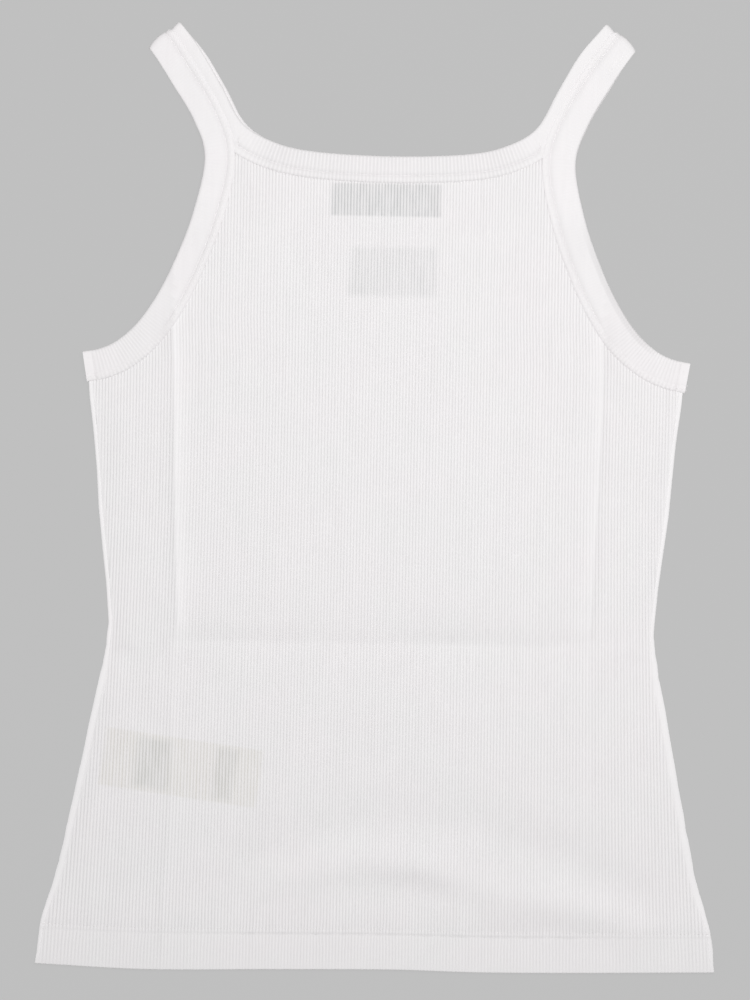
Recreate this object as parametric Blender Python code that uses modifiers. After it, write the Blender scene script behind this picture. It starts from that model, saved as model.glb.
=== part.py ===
"""Rib-knit tank top with bound neckline, bound armholes and folded straps, laid out flat, face up.

Metres, +Z up. +Y runs from the hem to the shoulders, +X to the right as seen from above, and the
back panel rests on z = 0. The outline tables are in the garment's own frame, with y = 0 at the hem.
"""

import math

import bmesh
import bpy

MM = 0.001

# Cloth and the clearances between its layers.
WALL = 1.0 * MM
GAP = 0.3 * MM
PANEL_GAP = WALL + 2 * GAP          # space between a binding's two leaves where a panel lies in it
STRAP_GAP = GAP                     # the same on the straps, where the leaves lie on each other
AIR = WALL + 2 * GAP                # space between the panels, which a label fits in

# Whole garment.
CENTRE_HEIGHT = 308.20 * MM         # middle of the whole length, above the hem's line
NECK_BINDING = 17.4 * MM
ARMHOLE_BINDING = 19.7 * MM
BUTT_GAP = 0.6 * MM                 # between the two bindings where they meet on a strap
PANEL_INSET = 3.0 * MM              # from a bound edge's fold to the panel's own edge
HEM_TURN = 21.0 * MM
HEM_FLAT = 27.0 * MM                # the outer face stays level this far above the fold
HEM_FALL = 30.0 * MM
EDGE_FLAT = 38.0 * MM               # a panel stays at its bound edge's level this far in
EDGE_FALL = 42.0 * MM
SEAM_RISE = 15.0 * MM               # the front rises from the side seam over this width

# How it was laid down: the upper front lies off to -X and the upper back as far to +X.
DRIFT = 1.15 * MM
DRIFT_STARTS = {"height": 398.0 * MM, "x": 50.0 * MM, "below_shoulder": 4.0 * MM}
DRIFT_RAMP = 25.0 * MM
NECK_CENTRE_RAMP = 40.0 * MM        # outward from DRIFT_STARTS["x"]
BACK_NECK_DROP = 2.0 * MM           # the back neckline lies lower, hidden behind the front
NECK_DROP_BAND = {"from": 420.0 * MM, "to": 480.0 * MM}
NECK_CURVE_FROM = 440.0 * MM        # above this, rows of a panel bend to follow its neckline
RIGHT_STRAP_LIFT = 4.0 * MM         # the right strap is laid out longer by this
STRAP_LIFT_REACH = 75.0 * MM        # and the extra length is taken up along this much of it
HEM_SAG_REACH = 60.0 * MM           # the uneven hem line dies out this far up

# Side seams: height above the hem, half the width there.
SIDE_SEAM = [
    {"height": 0.0 * MM, "half_width": 222.4 * MM},
    {"height": 29.0 * MM, "half_width": 218.8 * MM},
    {"height": 60.0 * MM, "half_width": 209.6 * MM},
    {"height": 105.0 * MM, "half_width": 200.2 * MM},
    {"height": 165.0 * MM, "half_width": 188.4 * MM},
    {"height": 211.0 * MM, "half_width": 179.6 * MM},
    {"height": 240.0 * MM, "half_width": 179.9 * MM},
    {"height": 300.0 * MM, "half_width": 186.6 * MM},
    {"height": 345.0 * MM, "half_width": 190.4 * MM},
    {"height": 375.0 * MM, "half_width": 193.8 * MM},
    {"height": 396.0 * MM, "half_width": 195.5 * MM},
]
UNDERARM_HEIGHT = SIDE_SEAM[-1]["height"]

# The laid hem's line, from side to side.
HEM_SAG = [
    {"x": -222.0 * MM, "sag": 1.8 * MM},
    {"x": -150.0 * MM, "sag": 4.3 * MM},
    {"x": -70.0 * MM, "sag": 2.8 * MM},
    {"x": 10.0 * MM, "sag": 1.5 * MM},
    {"x": 65.0 * MM, "sag": 2.2 * MM},
    {"x": 125.0 * MM, "sag": 1.5 * MM},
    {"x": 222.0 * MM, "sag": -0.7 * MM},
]

# Right armhole's folded edge, from the side seam to the shoulder fold.
ARMHOLE_EDGE = [
    {"x": 199.0 * MM, "y": 400.0 * MM},
    {"x": 188.0 * MM, "y": 402.2 * MM},
    {"x": 176.5 * MM, "y": 407.6 * MM},
    {"x": 162.7 * MM, "y": 419.6 * MM},
    {"x": 150.1 * MM, "y": 438.0 * MM},
    {"x": 138.5 * MM, "y": 462.0 * MM},
    {"x": 127.7 * MM, "y": 492.0 * MM},
    {"x": 120.6 * MM, "y": 528.0 * MM},
    {"x": 128.1 * MM, "y": 552.5 * MM},
    {"x": 142.9 * MM, "y": 576.5 * MM},
    {"x": 157.9 * MM, "y": 597.4 * MM},
]

# Right half of the neckline's folded edge, from the centre front to the shoulder fold.
NECK_EDGE = [
    {"x": 0.0 * MM, "y": 531.8 * MM},
    {"x": 50.0 * MM, "y": 534.0 * MM},
    {"x": 77.0 * MM, "y": 540.0 * MM},
    {"x": 96.2 * MM, "y": 551.5 * MM},
    {"x": 110.1 * MM, "y": 575.5 * MM},
    {"x": 124.6 * MM, "y": 598.8 * MM},
    {"x": 137.9 * MM, "y": 615.2 * MM},
]
STRAP_BASE_HEIGHT = 534.0 * MM      # the panel's corner under the outer side of the strap
STRAP_CUT_OFF = 554.0 * MM          # no panel reaches this high
STRAP_CORNER_X = 96.0 * MM          # where the panel's top edge leaves the neckline
STRAP_THINS = {"from": 68.0 * MM, "to": 14.0 * MM}      # distances below the shoulder fold

# Largest folds of the front, in millimetres: a straight run each, its height above the panel and
# its half reach.
FOLDS = [
    {"name": "left_ridge", "x0": -137.5, "y0": 425, "x1": -136.5, "y1": 215, "height": 0.9, "reach": 9},
    {"name": "right_ridge", "x0": 139, "y0": 420, "x1": 137, "y1": 215, "height": 0.7, "reach": 9},
    {"name": "waist_valley", "x0": -172, "y0": 212, "x1": 172, "y1": 212, "height": -0.7, "reach": 9},
    {"name": "hem_ridge_left", "x0": -68, "y0": 77, "x1": -30, "y1": 90, "height": 0.8, "reach": 11},
    {"name": "hem_ridge_middle", "x0": -30, "y0": 90, "x1": 63, "y1": 67, "height": 1.3, "reach": 12},
    {"name": "hem_ridge_right", "x0": 63, "y0": 67, "x1": 164, "y1": 45, "height": 0.9, "reach": 11},
]

# Rows of a panel above its hem, band by band.
FRONT_BANDS = [
    {"from": 11.5 * MM, "to": 28.0 * MM, "rows": 1},
    {"from": 28.0 * MM, "to": 100.0 * MM, "rows": 4},
    {"from": 100.0 * MM, "to": 200.0 * MM, "rows": 5},
    {"from": 200.0 * MM, "to": 224.0 * MM, "rows": 2},
    {"from": 224.0 * MM, "to": 396.0 * MM, "rows": 8},
    {"from": 396.0 * MM, "to": 426.0 * MM, "rows": 3},
    {"from": 426.0 * MM, "to": 534.0 * MM, "rows": 6},
]
BACK_BANDS = [
    {"from": 11.5 * MM, "to": 28.0 * MM, "rows": 1},
    {"from": 28.0 * MM, "to": 100.0 * MM, "rows": 3},
    {"from": 100.0 * MM, "to": 396.0 * MM, "rows": 10},
    {"from": 396.0 * MM, "to": 426.0 * MM, "rows": 3},
    {"from": 426.0 * MM, "to": 534.0 * MM, "rows": 5},
]
FRONT_COLUMNS = 24
BACK_COLUMNS = 18
SPAN_STEPS = 12                     # of a smooth line, between two rows of its table
END_SLACK = 0.001                   # a line's segment counts as longer by this share at each end
FOLD_STEPS = 3                      # facets round a folded edge
SHOULDER_STEPS = 4                  # and over the shoulder
SQUARED_STATIONS = 4                # the last ones below the shoulder turn to be square to the strap

# Stations along the right half of each bound edge, up to a share of its length at a time.
NECK_STATIONS = [
    {"share": 0.42, "count": 4},
    {"share": 0.68, "count": 8},
    {"share": 1.0, "count": 5},
]
ARMHOLE_STATIONS = [
    {"share": 0.22, "count": 6},
    {"share": 0.62, "count": 7},
    {"share": 0.84, "count": 7},
    {"share": 1.0, "count": 3},
]

# Labels inside, on the back panel: centre and size in millimetres, turn in degrees.
LABELS = [
    {"name": "neck_label", "x": -2.2, "y": 501.5, "width": 73.0, "height": 20.0, "turn": 0.0},
    {"name": "size_label", "x": 3.3, "y": 456.0, "width": 59.0, "height": 34.0, "turn": 0.0},
    {"name": "care_label", "x": -127.0, "y": 123.0, "width": 100.0, "height": 43.0, "turn": -8.0},
]
LABEL_GRID = (5, 2)

CLOTH_ROUGHNESS = 0.92
COLOURS = {
    "rib": (0.86, 0.86, 0.85, 1.0),
    "binding": (0.89, 0.89, 0.88, 1.0),
    "neck_label": (0.22, 0.22, 0.23, 1.0),
    "size_label": (0.45, 0.45, 0.46, 1.0),
    "care_label": (0.74, 0.73, 0.66, 1.0),
}


def smoothstep(value):
    """0 below 0, 1 above 1, and a smooth rise between."""
    value = min(max(value, 0.0), 1.0)
    return value * value * (3.0 - 2.0 * value)


def catmull_rom(points, steps=SPAN_STEPS):
    """A smooth polyline through the points, with ghost points past both ends."""
    first = tuple(2 * a - b for a, b in zip(points[0], points[1]))
    last = tuple(2 * a - b for a, b in zip(points[-1], points[-2]))
    ends = [first, *points, last]
    line = []
    for p0, p1, p2, p3 in zip(ends, ends[1:], ends[2:], ends[3:]):
        for step in range(steps):
            t = step / steps
            line.append(tuple(
                0.5 * (2 * b + (c - a) * t + (2 * a - 5 * b + 4 * c - d) * t**2
                       + (3 * b - a - 3 * c + d) * t**3)
                for a, b, c, d in zip(p0, p1, p2, p3)))
    return line + [points[-1]]


def table_line(rows, first, second):
    """A smooth line through two columns of a table."""
    return catmull_rom([(row[first], row[second]) for row in rows])


def read_line(line, value):
    """The second coordinate of a line whose first one rises."""
    for (a, b), (c, d) in zip(line, line[1:]):
        if value <= c:
            return b + (d - b) * (value - a) / (c - a)
    return line[-1][1]


def along(line, bands):
    """Points along a polyline, evenly spaced in each band of its length, from its start to its end."""
    lengths = [0.0]
    for p, q in zip(line, line[1:]):
        lengths.append(lengths[-1] + math.dist(p, q))
    shares = [0.0]
    for band in bands:
        low = shares[-1]
        step = (band["share"] - low) / band["count"]
        shares += [low + step * (index + 1) for index in range(band["count"])]
    points = []
    place = 0
    for share in shares:
        target = lengths[-1] * share
        while place < len(line) - 2 and lengths[place + 1] < target:
            place += 1
        part = (target - lengths[place]) / (lengths[place + 1] - lengths[place])
        (ax, ay), (bx, by) = line[place], line[place + 1]
        points.append((ax + (bx - ax) * part, ay + (by - ay) * part))
    return points


def unit(vector):
    size = math.hypot(*vector)
    return vector[0] / size, vector[1] / size


def moved(point, heading, distance):
    return point[0] + heading[0] * distance, point[1] + heading[1] * distance


def distance_to_run(x, y, x0, y0, x1, y1):
    """Distance from a place to a straight run."""
    run = (x1 - x0) ** 2 + (y1 - y0) ** 2
    part = min(max(((x - x0) * (x1 - x0) + (y - y0) * (y1 - y0)) / run, 0.0), 1.0)
    return math.hypot(x - x0 - part * (x1 - x0), y - y0 - part * (y1 - y0))


def distance_to_line(x, y, line):
    return min(distance_to_run(x, y, *p, *q) for p, q in zip(line, line[1:]))


def neck_line():
    """The right half of the neckline, level where it crosses the centre."""
    mirrored = {"x": -NECK_EDGE[1]["x"], "y": NECK_EDGE[1]["y"]}
    return table_line([mirrored, *NECK_EDGE], "x", "y")[SPAN_STEPS:]


def strap_top_direction():
    """Along the strap at its shoulder fold, square to the line between its two edges."""
    inner = NECK_EDGE[-1]
    outer = ARMHOLE_EDGE[-1]
    across = unit((outer["x"] - inner["x"], outer["y"] - inner["y"]))
    return -across[1], across[0]


def below_shoulder(x, y):
    """Distance along the strap from its shoulder fold down to a place."""
    top = strap_top_direction()
    return (NECK_EDGE[-1]["x"] - abs(x)) * top[0] + (NECK_EDGE[-1]["y"] - y) * top[1]


def stations(points, hand):
    """Each point of an edge with its unit tangent and the unit vector into the cloth."""
    top = strap_top_direction()
    last = len(points) - 1
    found = []
    for index, point in enumerate(points):
        before = points[max(index - 1, 0)]
        after = points[min(index + 1, last)]
        tangent = unit((after[0] - before[0], after[1] - before[1]))
        near_top = smoothstep(1 - (last - index) / SQUARED_STATIONS)
        tangent = unit([a + (b - a) * near_top for a, b in zip(tangent, top)])
        found.append({"at": point, "along": tangent, "into": (hand * tangent[1], -hand * tangent[0])})
    return found


def crossing(origin, heading, line):
    """Distance from the origin along the heading to a polyline, or None."""
    best = None
    for (ax, ay), (bx, by) in zip(line, line[1:]):
        ex, ey = bx - ax, by - ay
        spread = heading[0] * ey - heading[1] * ex
        if not spread:
            continue
        ahead = ((ax - origin[0]) * ey - (ay - origin[1]) * ex) / spread
        part = ((ax - origin[0]) * heading[1] - (ay - origin[1]) * heading[0]) / spread
        meets = -END_SLACK <= part <= 1 + END_SLACK
        if meets and ahead > 0 and (best is None or ahead < best):
            best = ahead
    return best


def inset_line(run, inset):
    """The line that lies this far into the cloth from an edge's stations."""
    return [moved(station["at"], station["into"], inset) for station in run]


def armhole_run():
    """The right armhole's stations."""
    run = stations(along(table_line(ARMHOLE_EDGE, "x", "y"), ARMHOLE_STATIONS), -1)
    return [dict(station, width=ARMHOLE_BINDING) for station in run]


def neck_run(beside):
    """The neckline's stations, their leaves cut narrower where the armhole binding lies beside them."""
    run = stations(along(neck_line(), NECK_STATIONS), 1)
    run[0] = {"at": (0.0, NECK_EDGE[0]["y"]), "along": (1.0, 0.0), "into": (0.0, -1.0)}
    leaf_edge = inset_line(beside, ARMHOLE_BINDING)
    for station in run:
        room = crossing(station["at"], station["into"], leaf_edge)
        station["width"] = NECK_BINDING if room is None else min(NECK_BINDING, room - BUTT_GAP)
    return run


# Lines worked out from the tables.
HEM_LINE = table_line(HEM_SAG, "x", "sag")
SIDE_LINE = table_line(SIDE_SEAM, "height", "half_width")
ARMHOLE_RUN = armhole_run()
NECK_RUN = neck_run(ARMHOLE_RUN)
NECK_INSET = inset_line(NECK_RUN, PANEL_INSET)
ARMHOLE_INSET = sorted((y, x) for x, y in inset_line(ARMHOLE_RUN, PANEL_INSET) if y < STRAP_CUT_OFF)
TOP_HALF_WIDTH = read_line(ARMHOLE_INSET, STRAP_BASE_HEIGHT)


def panel_half_width(height):
    """Half a panel's width: to the side seam, and above the armpit into the armhole binding."""
    if height <= UNDERARM_HEIGHT:
        return read_line(SIDE_LINE, height)
    return read_line(ARMHOLE_INSET, max(height, ARMHOLE_INSET[0][0]))


def panel_top(x):
    """The panel's top edge, tucked into the neck binding, then cut off across the strap's base."""
    x = abs(x)
    if x <= STRAP_CORNER_X:
        return read_line(NECK_INSET, x)
    corner = read_line(NECK_INSET, STRAP_CORNER_X)
    part = (x - STRAP_CORNER_X) / (TOP_HALF_WIDTH - STRAP_CORNER_X)
    return corner + (STRAP_BASE_HEIGHT - corner) * part


def edge_stack(gap):
    """Half the thickness of all the layers at a bound edge, and each side's middle from the centre."""
    offset = gap / 2 + WALL + GAP / 2
    return offset + gap / 2 + WALL, offset


EDGE_CENTRE, EDGE_OFFSET = edge_stack(PANEL_GAP)
BACK_LEVEL = {"body": WALL / 2, "edge": EDGE_CENTRE - EDGE_OFFSET, "turn": 1.5 * WALL + GAP}
FRONT_LEVEL = {
    "body": 1.5 * WALL + AIR,
    "edge": EDGE_CENTRE + EDGE_OFFSET,
    "seam": 1.5 * WALL + GAP,
    "turn": 2.5 * WALL + 2 * GAP,
    "hem": 3.5 * WALL + 3 * GAP,
}
BOUND_EDGES = [
    [station["at"] for station in run if below_shoulder(*station["at"]) > STRAP_THINS["from"]]
    for run in (NECK_RUN, ARMHOLE_RUN)
]


def near_bound_edge(x, y):
    """1 where a panel lies in a binding, falling to 0 in the body."""
    distance = min(distance_to_line(abs(x), y, line) for line in BOUND_EDGES)
    return 1.0 - smoothstep((distance - EDGE_FLAT) / EDGE_FALL)


def fold_height(x, y):
    """How far the soft folds lift or sink the front."""
    up = 0.0
    down = 0.0
    for fold in FOLDS:
        ends = [fold[key] * MM for key in ("x0", "y0", "x1", "y1")]
        away = distance_to_run(x, y, *ends) / (fold["reach"] * MM)
        height = fold["height"] * MM * math.exp(-away * away)
        up = max(up, height)
        down = min(down, height)
    return up + down


def back_height(x, y):
    """The middle of the back panel's wall."""
    return BACK_LEVEL["body"] + (BACK_LEVEL["edge"] - BACK_LEVEL["body"]) * near_bound_edge(x, y)


def front_height(x, y):
    """The middle of the front panel's wall."""
    edge = near_bound_edge(x, y)
    hem = 1.0 - smoothstep((y - HEM_FLAT) / HEM_FALL)
    side = smoothstep((panel_half_width(y) - abs(x)) / SEAM_RISE)
    body = FRONT_LEVEL["seam"] + (FRONT_LEVEL["body"] - FRONT_LEVEL["seam"]) * side
    body += fold_height(x, y) * side * (1 - edge) * (1 - hem)
    height = body + (FRONT_LEVEL["edge"] - body) * edge
    return height + (FRONT_LEVEL["hem"] - height) * hem


def cloth_material(name, colour):
    """Plain matt cloth."""
    material = bpy.data.materials.new(name)
    material.use_nodes = True
    shader = material.node_tree.nodes["Principled BSDF"]
    shader.inputs["Base Color"].default_value = colour
    shader.inputs["Roughness"].default_value = CLOTH_ROUGHNESS
    shader.inputs["Metallic"].default_value = 0.0
    return material


def cloth_sheet(name, columns, rows, place, colour, collection, ring=False):
    """A grid whose points go where place(column, row) says, given its wall by Solidify."""
    mesh = bpy.data.meshes.new(name)
    build = bmesh.new()
    bmesh.ops.create_grid(build, x_segments=columns, y_segments=rows, size=1.0)
    for vertex in build.verts:
        column_index = round((vertex.co.x + 1) / 2 * columns)
        row_index = round((vertex.co.y + 1) / 2 * rows)
        x, y, z = place(column_index, row_index)
        vertex.co = (x, y - CENTRE_HEIGHT, z)
    if ring:
        bmesh.ops.remove_doubles(build, verts=build.verts, dist=0.01 * MM)
    build.to_mesh(mesh)
    build.free()
    mesh.shade_smooth()
    mesh.materials.append(cloth_material(name + "_cloth", colour))
    sheet = bpy.data.objects.new(name, mesh)
    collection.objects.link(sheet)
    wall = sheet.modifiers.new("wall", "SOLIDIFY")
    wall.thickness = WALL
    wall.offset = 0.0
    wall.use_even_offset = True
    return sheet


def panel_rows(bands, outer, turn):
    """Heights up a panel with its hem: the turned-up edge, the fold, then the outer face."""
    radius = abs(outer - turn) / 2
    fold_centre = radius + WALL / 2
    side = 1.0 if outer > turn else -1.0
    rows = [(HEM_TURN, turn), (HEM_TURN / 2, turn)]
    for step in range(FOLD_STEPS + 1):
        angle = math.pi * step / FOLD_STEPS
        y = fold_centre - radius * math.sin(angle)
        rows.append((y, (outer + turn) / 2 - side * radius * math.cos(angle)))
    for band in bands:
        step = (band["to"] - band["from"]) / band["rows"]
        rows += [(band["from"] + step * index, None) for index in range(band["rows"])]
    return rows + [(bands[-1]["to"], None)]


def panel(name, columns, bands, levels, height, offset, collection):
    """A body panel with its hem turned up inside; height gives its middle, offset its drift."""
    rows = panel_rows(bands, levels.get("hem", levels["body"]), levels["turn"])

    def place(column_index, row_index):
        y, z = rows[row_index]
        across = 2.0 * column_index / columns - 1.0
        x = across * panel_half_width(y)
        rise = smoothstep((y - NECK_CURVE_FROM) / (STRAP_BASE_HEIGHT - NECK_CURVE_FROM))
        y += rise * (panel_top(across * TOP_HALF_WIDTH) - STRAP_BASE_HEIGHT)
        dx, dy = offset(x, y)
        return x + dx, y + dy, height(x, y) if z is None else z

    return cloth_sheet(name, columns, len(rows) - 1, place, COLOURS["rib"], collection)


def laid_offset(x, y, drift, neck_drop):
    """How far a layer lies from its pattern: off to one side above the armpits, lower at the neck."""
    centre = 1.0 - smoothstep((abs(x) - DRIFT_STARTS["x"]) / NECK_CENTRE_RAMP)
    shift = (1.0 - centre) * smoothstep((y - DRIFT_STARTS["height"]) / DRIFT_RAMP)
    shift *= smoothstep((below_shoulder(x, y) - DRIFT_STARTS["below_shoulder"]) / DRIFT_RAMP)
    up = (y - NECK_DROP_BAND["from"]) / (NECK_DROP_BAND["to"] - NECK_DROP_BAND["from"])
    drop = neck_drop * centre * smoothstep(up)
    if x > 0:
        drop -= RIGHT_STRAP_LIFT * (1.0 - smoothstep(below_shoulder(x, y) / STRAP_LIFT_REACH))
    drop += read_line(HEM_LINE, x) * (1.0 - smoothstep(y / HEM_SAG_REACH))
    return drift * shift, -drop


def front_offset(x, y):
    return laid_offset(x, y, -DRIFT, 0.0)


def back_offset(x, y):
    return laid_offset(x, y, DRIFT, BACK_NECK_DROP)


def edge_sections(run, side, turned):
    """Sections up one edge: place, frame, leaf width, gap and the turn over the shoulder."""
    found = []
    for station in run:
        x, y = station["at"]
        dx, dy = (back_offset if turned else front_offset)(side * x, y)
        thin = (STRAP_THINS["from"] - below_shoulder(x, y)) / (STRAP_THINS["from"] - STRAP_THINS["to"])
        found.append({
            "at": (side * x + dx, y + dy),
            "along": (side * station["along"][0], station["along"][1]),
            "into": (side * station["into"][0], station["into"][1]),
            "width": station["width"],
            "gap": PANEL_GAP + (STRAP_GAP - PANEL_GAP) * smoothstep(thin),
            "angle": math.pi if turned else 0.0,
        })
    return found


def over_the_shoulder(run, side):
    """Up the front of an edge, over the shoulder fold and down the back."""
    front = edge_sections(run, side, False)
    back = edge_sections(run, side, True)
    fold = [dict(front[-1], angle=math.pi * step / SHOULDER_STEPS) for step in range(1, SHOULDER_STEPS)]
    return front + fold + back[::-1]


def section_point(section, column_index):
    """A point of the binding's folded section: outer leaf, fold at the free edge, inner leaf."""
    centre, offset = edge_stack(section["gap"])
    radius = (section["gap"] + WALL) / 2
    if column_index in (0, FOLD_STEPS + 2):
        inward = section["width"]
        lift = radius if column_index == 0 else -radius
    else:
        angle = math.pi * (column_index - 1) / FOLD_STEPS
        inward = radius * (1 - math.sin(angle)) + WALL / 2
        lift = radius * math.cos(angle)
    reach = (offset + lift) * math.sin(section["angle"])
    x, y = (
        at + into * inward + along_edge * reach
        for at, into, along_edge in zip(section["at"], section["into"], section["along"])
    )
    return x, y, centre + (offset + lift) * math.cos(section["angle"])


def binding(name, sections, collection, ring=False):
    """A folded strip round an edge, one row of points for each section."""
    def place(column_index, row_index):
        return section_point(sections[row_index], column_index)

    return cloth_sheet(
        name, FOLD_STEPS + 2, len(sections) - 1, place, COLOURS["binding"], collection, ring)


def label(size, collection):
    """A bare label on the back panel's inner face, made from that face's own heights."""
    columns, rows = LABEL_GRID
    turn = math.radians(size["turn"])

    def place(column_index, row_index):
        across = (column_index / columns - 0.5) * size["width"] * MM
        up = (row_index / rows - 0.5) * size["height"] * MM
        x = size["x"] * MM + across * math.cos(turn) - up * math.sin(turn)
        y = size["y"] * MM + across * math.sin(turn) + up * math.cos(turn)
        return x, y, back_height(x, y) + WALL + GAP

    return cloth_sheet(size["name"], columns, rows, place, COLOURS[size["name"]], collection)


def clear_scene():
    """Takes every object out of the scene."""
    for thing in list(bpy.data.objects):
        bpy.data.objects.remove(thing, do_unlink=True)


def build_tank_top():
    """All eight pieces, in a collection of their own."""
    clear_scene()
    collection = bpy.data.collections.new("tank_top")
    bpy.context.scene.collection.children.link(collection)

    panel("back_panel", BACK_COLUMNS, BACK_BANDS, BACK_LEVEL, back_height, back_offset, collection)
    panel("front_panel", FRONT_COLUMNS, FRONT_BANDS, FRONT_LEVEL, front_height, front_offset, collection)

    right = over_the_shoulder(NECK_RUN, 1.0)
    left = over_the_shoulder(NECK_RUN, -1.0)
    binding("neck_binding", right + left[::-1][1:], collection, ring=True)
    binding("armhole_binding_right", over_the_shoulder(ARMHOLE_RUN, 1.0), collection)
    binding("armhole_binding_left", over_the_shoulder(ARMHOLE_RUN, -1.0), collection)

    for size in LABELS:
        label(size, collection)


build_tank_top()
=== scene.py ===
"""The looks of a rib-knit tank top laid out flat, face up: ribbed cloth, bindings, labels, thread and studio.

Metres, +Z up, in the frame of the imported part. The outline tables are in the garment's own frame,
with y = 0 at the hem; CENTRE_HEIGHT takes them to the part's frame.
"""

import math

import bmesh
import bpy
import numpy as np
from bpy.props import FloatProperty, FloatVectorProperty, IntProperty, PointerProperty
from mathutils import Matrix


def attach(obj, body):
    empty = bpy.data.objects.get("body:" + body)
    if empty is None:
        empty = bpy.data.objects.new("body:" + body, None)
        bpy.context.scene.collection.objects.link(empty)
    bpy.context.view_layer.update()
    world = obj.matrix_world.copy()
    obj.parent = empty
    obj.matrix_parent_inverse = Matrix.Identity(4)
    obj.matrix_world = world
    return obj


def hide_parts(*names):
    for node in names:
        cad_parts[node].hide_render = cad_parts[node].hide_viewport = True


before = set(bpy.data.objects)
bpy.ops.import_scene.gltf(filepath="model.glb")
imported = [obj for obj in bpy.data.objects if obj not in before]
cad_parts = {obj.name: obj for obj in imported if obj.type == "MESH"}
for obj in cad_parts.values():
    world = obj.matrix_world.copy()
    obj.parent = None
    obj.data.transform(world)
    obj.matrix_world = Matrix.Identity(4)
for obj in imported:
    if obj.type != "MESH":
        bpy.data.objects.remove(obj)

bl_info = {
    "name": "Ribbed tank top",
    "version": (1, 0, 0),
    "blender": (4, 5, 0),
    "location": "3D View > Sidebar > Tank Top",
    "description": "Builds the cloth, stitching, labels and studio of a rib-knit tank top laid out flat",
    "category": "Object",
}

MM = 0.001

# Layers, as in the part: each visual layer is centred on the same surface.
WALL = 1.0 * MM
GAP = 0.3 * MM
PANEL_GAP = WALL + 2 * GAP
STRAP_GAP = GAP
AIR = WALL + 2 * GAP

# Whole garment.
CENTRE_HEIGHT = 308.20 * MM
NECK_BINDING = 17.4 * MM
ARMHOLE_BINDING = 19.7 * MM
TUCK = 0.5 * MM                     # how far the neck binding's leaf runs in under the armhole binding's
PANEL_INSET = 3.0 * MM
HEM_FLAT = 27.0 * MM
HEM_FALL = 30.0 * MM
EDGE_FLAT = 38.0 * MM
EDGE_FALL = 42.0 * MM
SEAM_RISE = 15.0 * MM

# How it was laid down.
SLOW_WAVE = 0.16 * MM                # how uneven the laid cloth is
DRIFT = 1.15 * MM
DRIFT_STARTS = {"height": 398.0 * MM, "x": 50.0 * MM, "below_shoulder": 4.0 * MM}
DRIFT_RAMP = 25.0 * MM
NECK_CENTRE_RAMP = 40.0 * MM
BACK_NECK_DROP = 2.0 * MM
NECK_DROP_BAND = {"from": 420.0 * MM, "to": 480.0 * MM}
NECK_CURVE_FROM = 440.0 * MM
RIGHT_STRAP_LIFT = 4.0 * MM
STRAP_LIFT_REACH = 75.0 * MM
HEM_SAG_REACH = 60.0 * MM

# Side seams: height above the hem, half the width there, in millimetres.
SIDE_SEAM = [
    (0.0, 222.4), (29.0, 218.8), (60.0, 209.6), (105.0, 200.2), (165.0, 188.4), (211.0, 179.6),
    (240.0, 179.9), (300.0, 186.6), (345.0, 190.4), (375.0, 193.8), (396.0, 195.5),
]
UNDERARM_HEIGHT = SIDE_SEAM[-1][0] * MM

# The laid hem's line, from side to side: x and how far it sags, in millimetres.
HEM_SAG = [
    (-222.0, 1.8), (-150.0, 4.3), (-70.0, 2.8), (10.0, 1.5), (65.0, 2.2), (125.0, 1.5), (222.0, -0.7),
]

# Right armhole's folded edge, from the side seam to the shoulder fold, in millimetres.
ARMHOLE_EDGE = [
    (199.0, 400.0), (188.0, 402.2), (176.5, 407.6), (162.7, 419.6), (150.1, 438.0), (138.5, 462.0),
    (127.7, 492.0), (120.6, 528.0), (128.1, 552.5), (142.9, 576.5), (157.9, 597.4),
]

# Right half of the neckline's folded edge, from the centre front to the shoulder fold, in millimetres.
NECK_EDGE = [
    (0.0, 531.8), (50.0, 534.0), (77.0, 540.0), (96.2, 551.5), (110.1, 575.5), (124.6, 598.8),
    (137.9, 615.2),
]
STRAP_BASE_HEIGHT = 534.0 * MM
STRAP_CUT_OFF = 554.0 * MM
STRAP_CORNER_X = 96.0 * MM
STRAP_THINS = {"from": 68.0 * MM, "to": 14.0 * MM}
TANGENT_REACH = 4.0 * MM            # either side of a place on an edge, to find its direction
STRAP_SQUARED = 45.0 * MM           # within this distance the strap's sections turn square to it
SHOULDER_BULGE = {"neck": 0.8 * MM, "armhole": 2.4 * MM}

def laid_fold(name, height, left, right, line, sharp=True, tone=None):
    """A soft fold or pressed crease, in millimetres.

    height lifts the cloth, or sinks it below 0; left and right are its reaches beside its line, and each
    point of the line carries the share of the height there. tone is painted light beside the fold, or
    painted shade below 0, and its reach, on the left, then on the right.
    """
    return {
        "name": name, "height": height, "left": left, "right": right,
        "line": line, "sharp": sharp, "tone": tone,
    }


# Each fold's tone is painted light and shade beside it.
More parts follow.
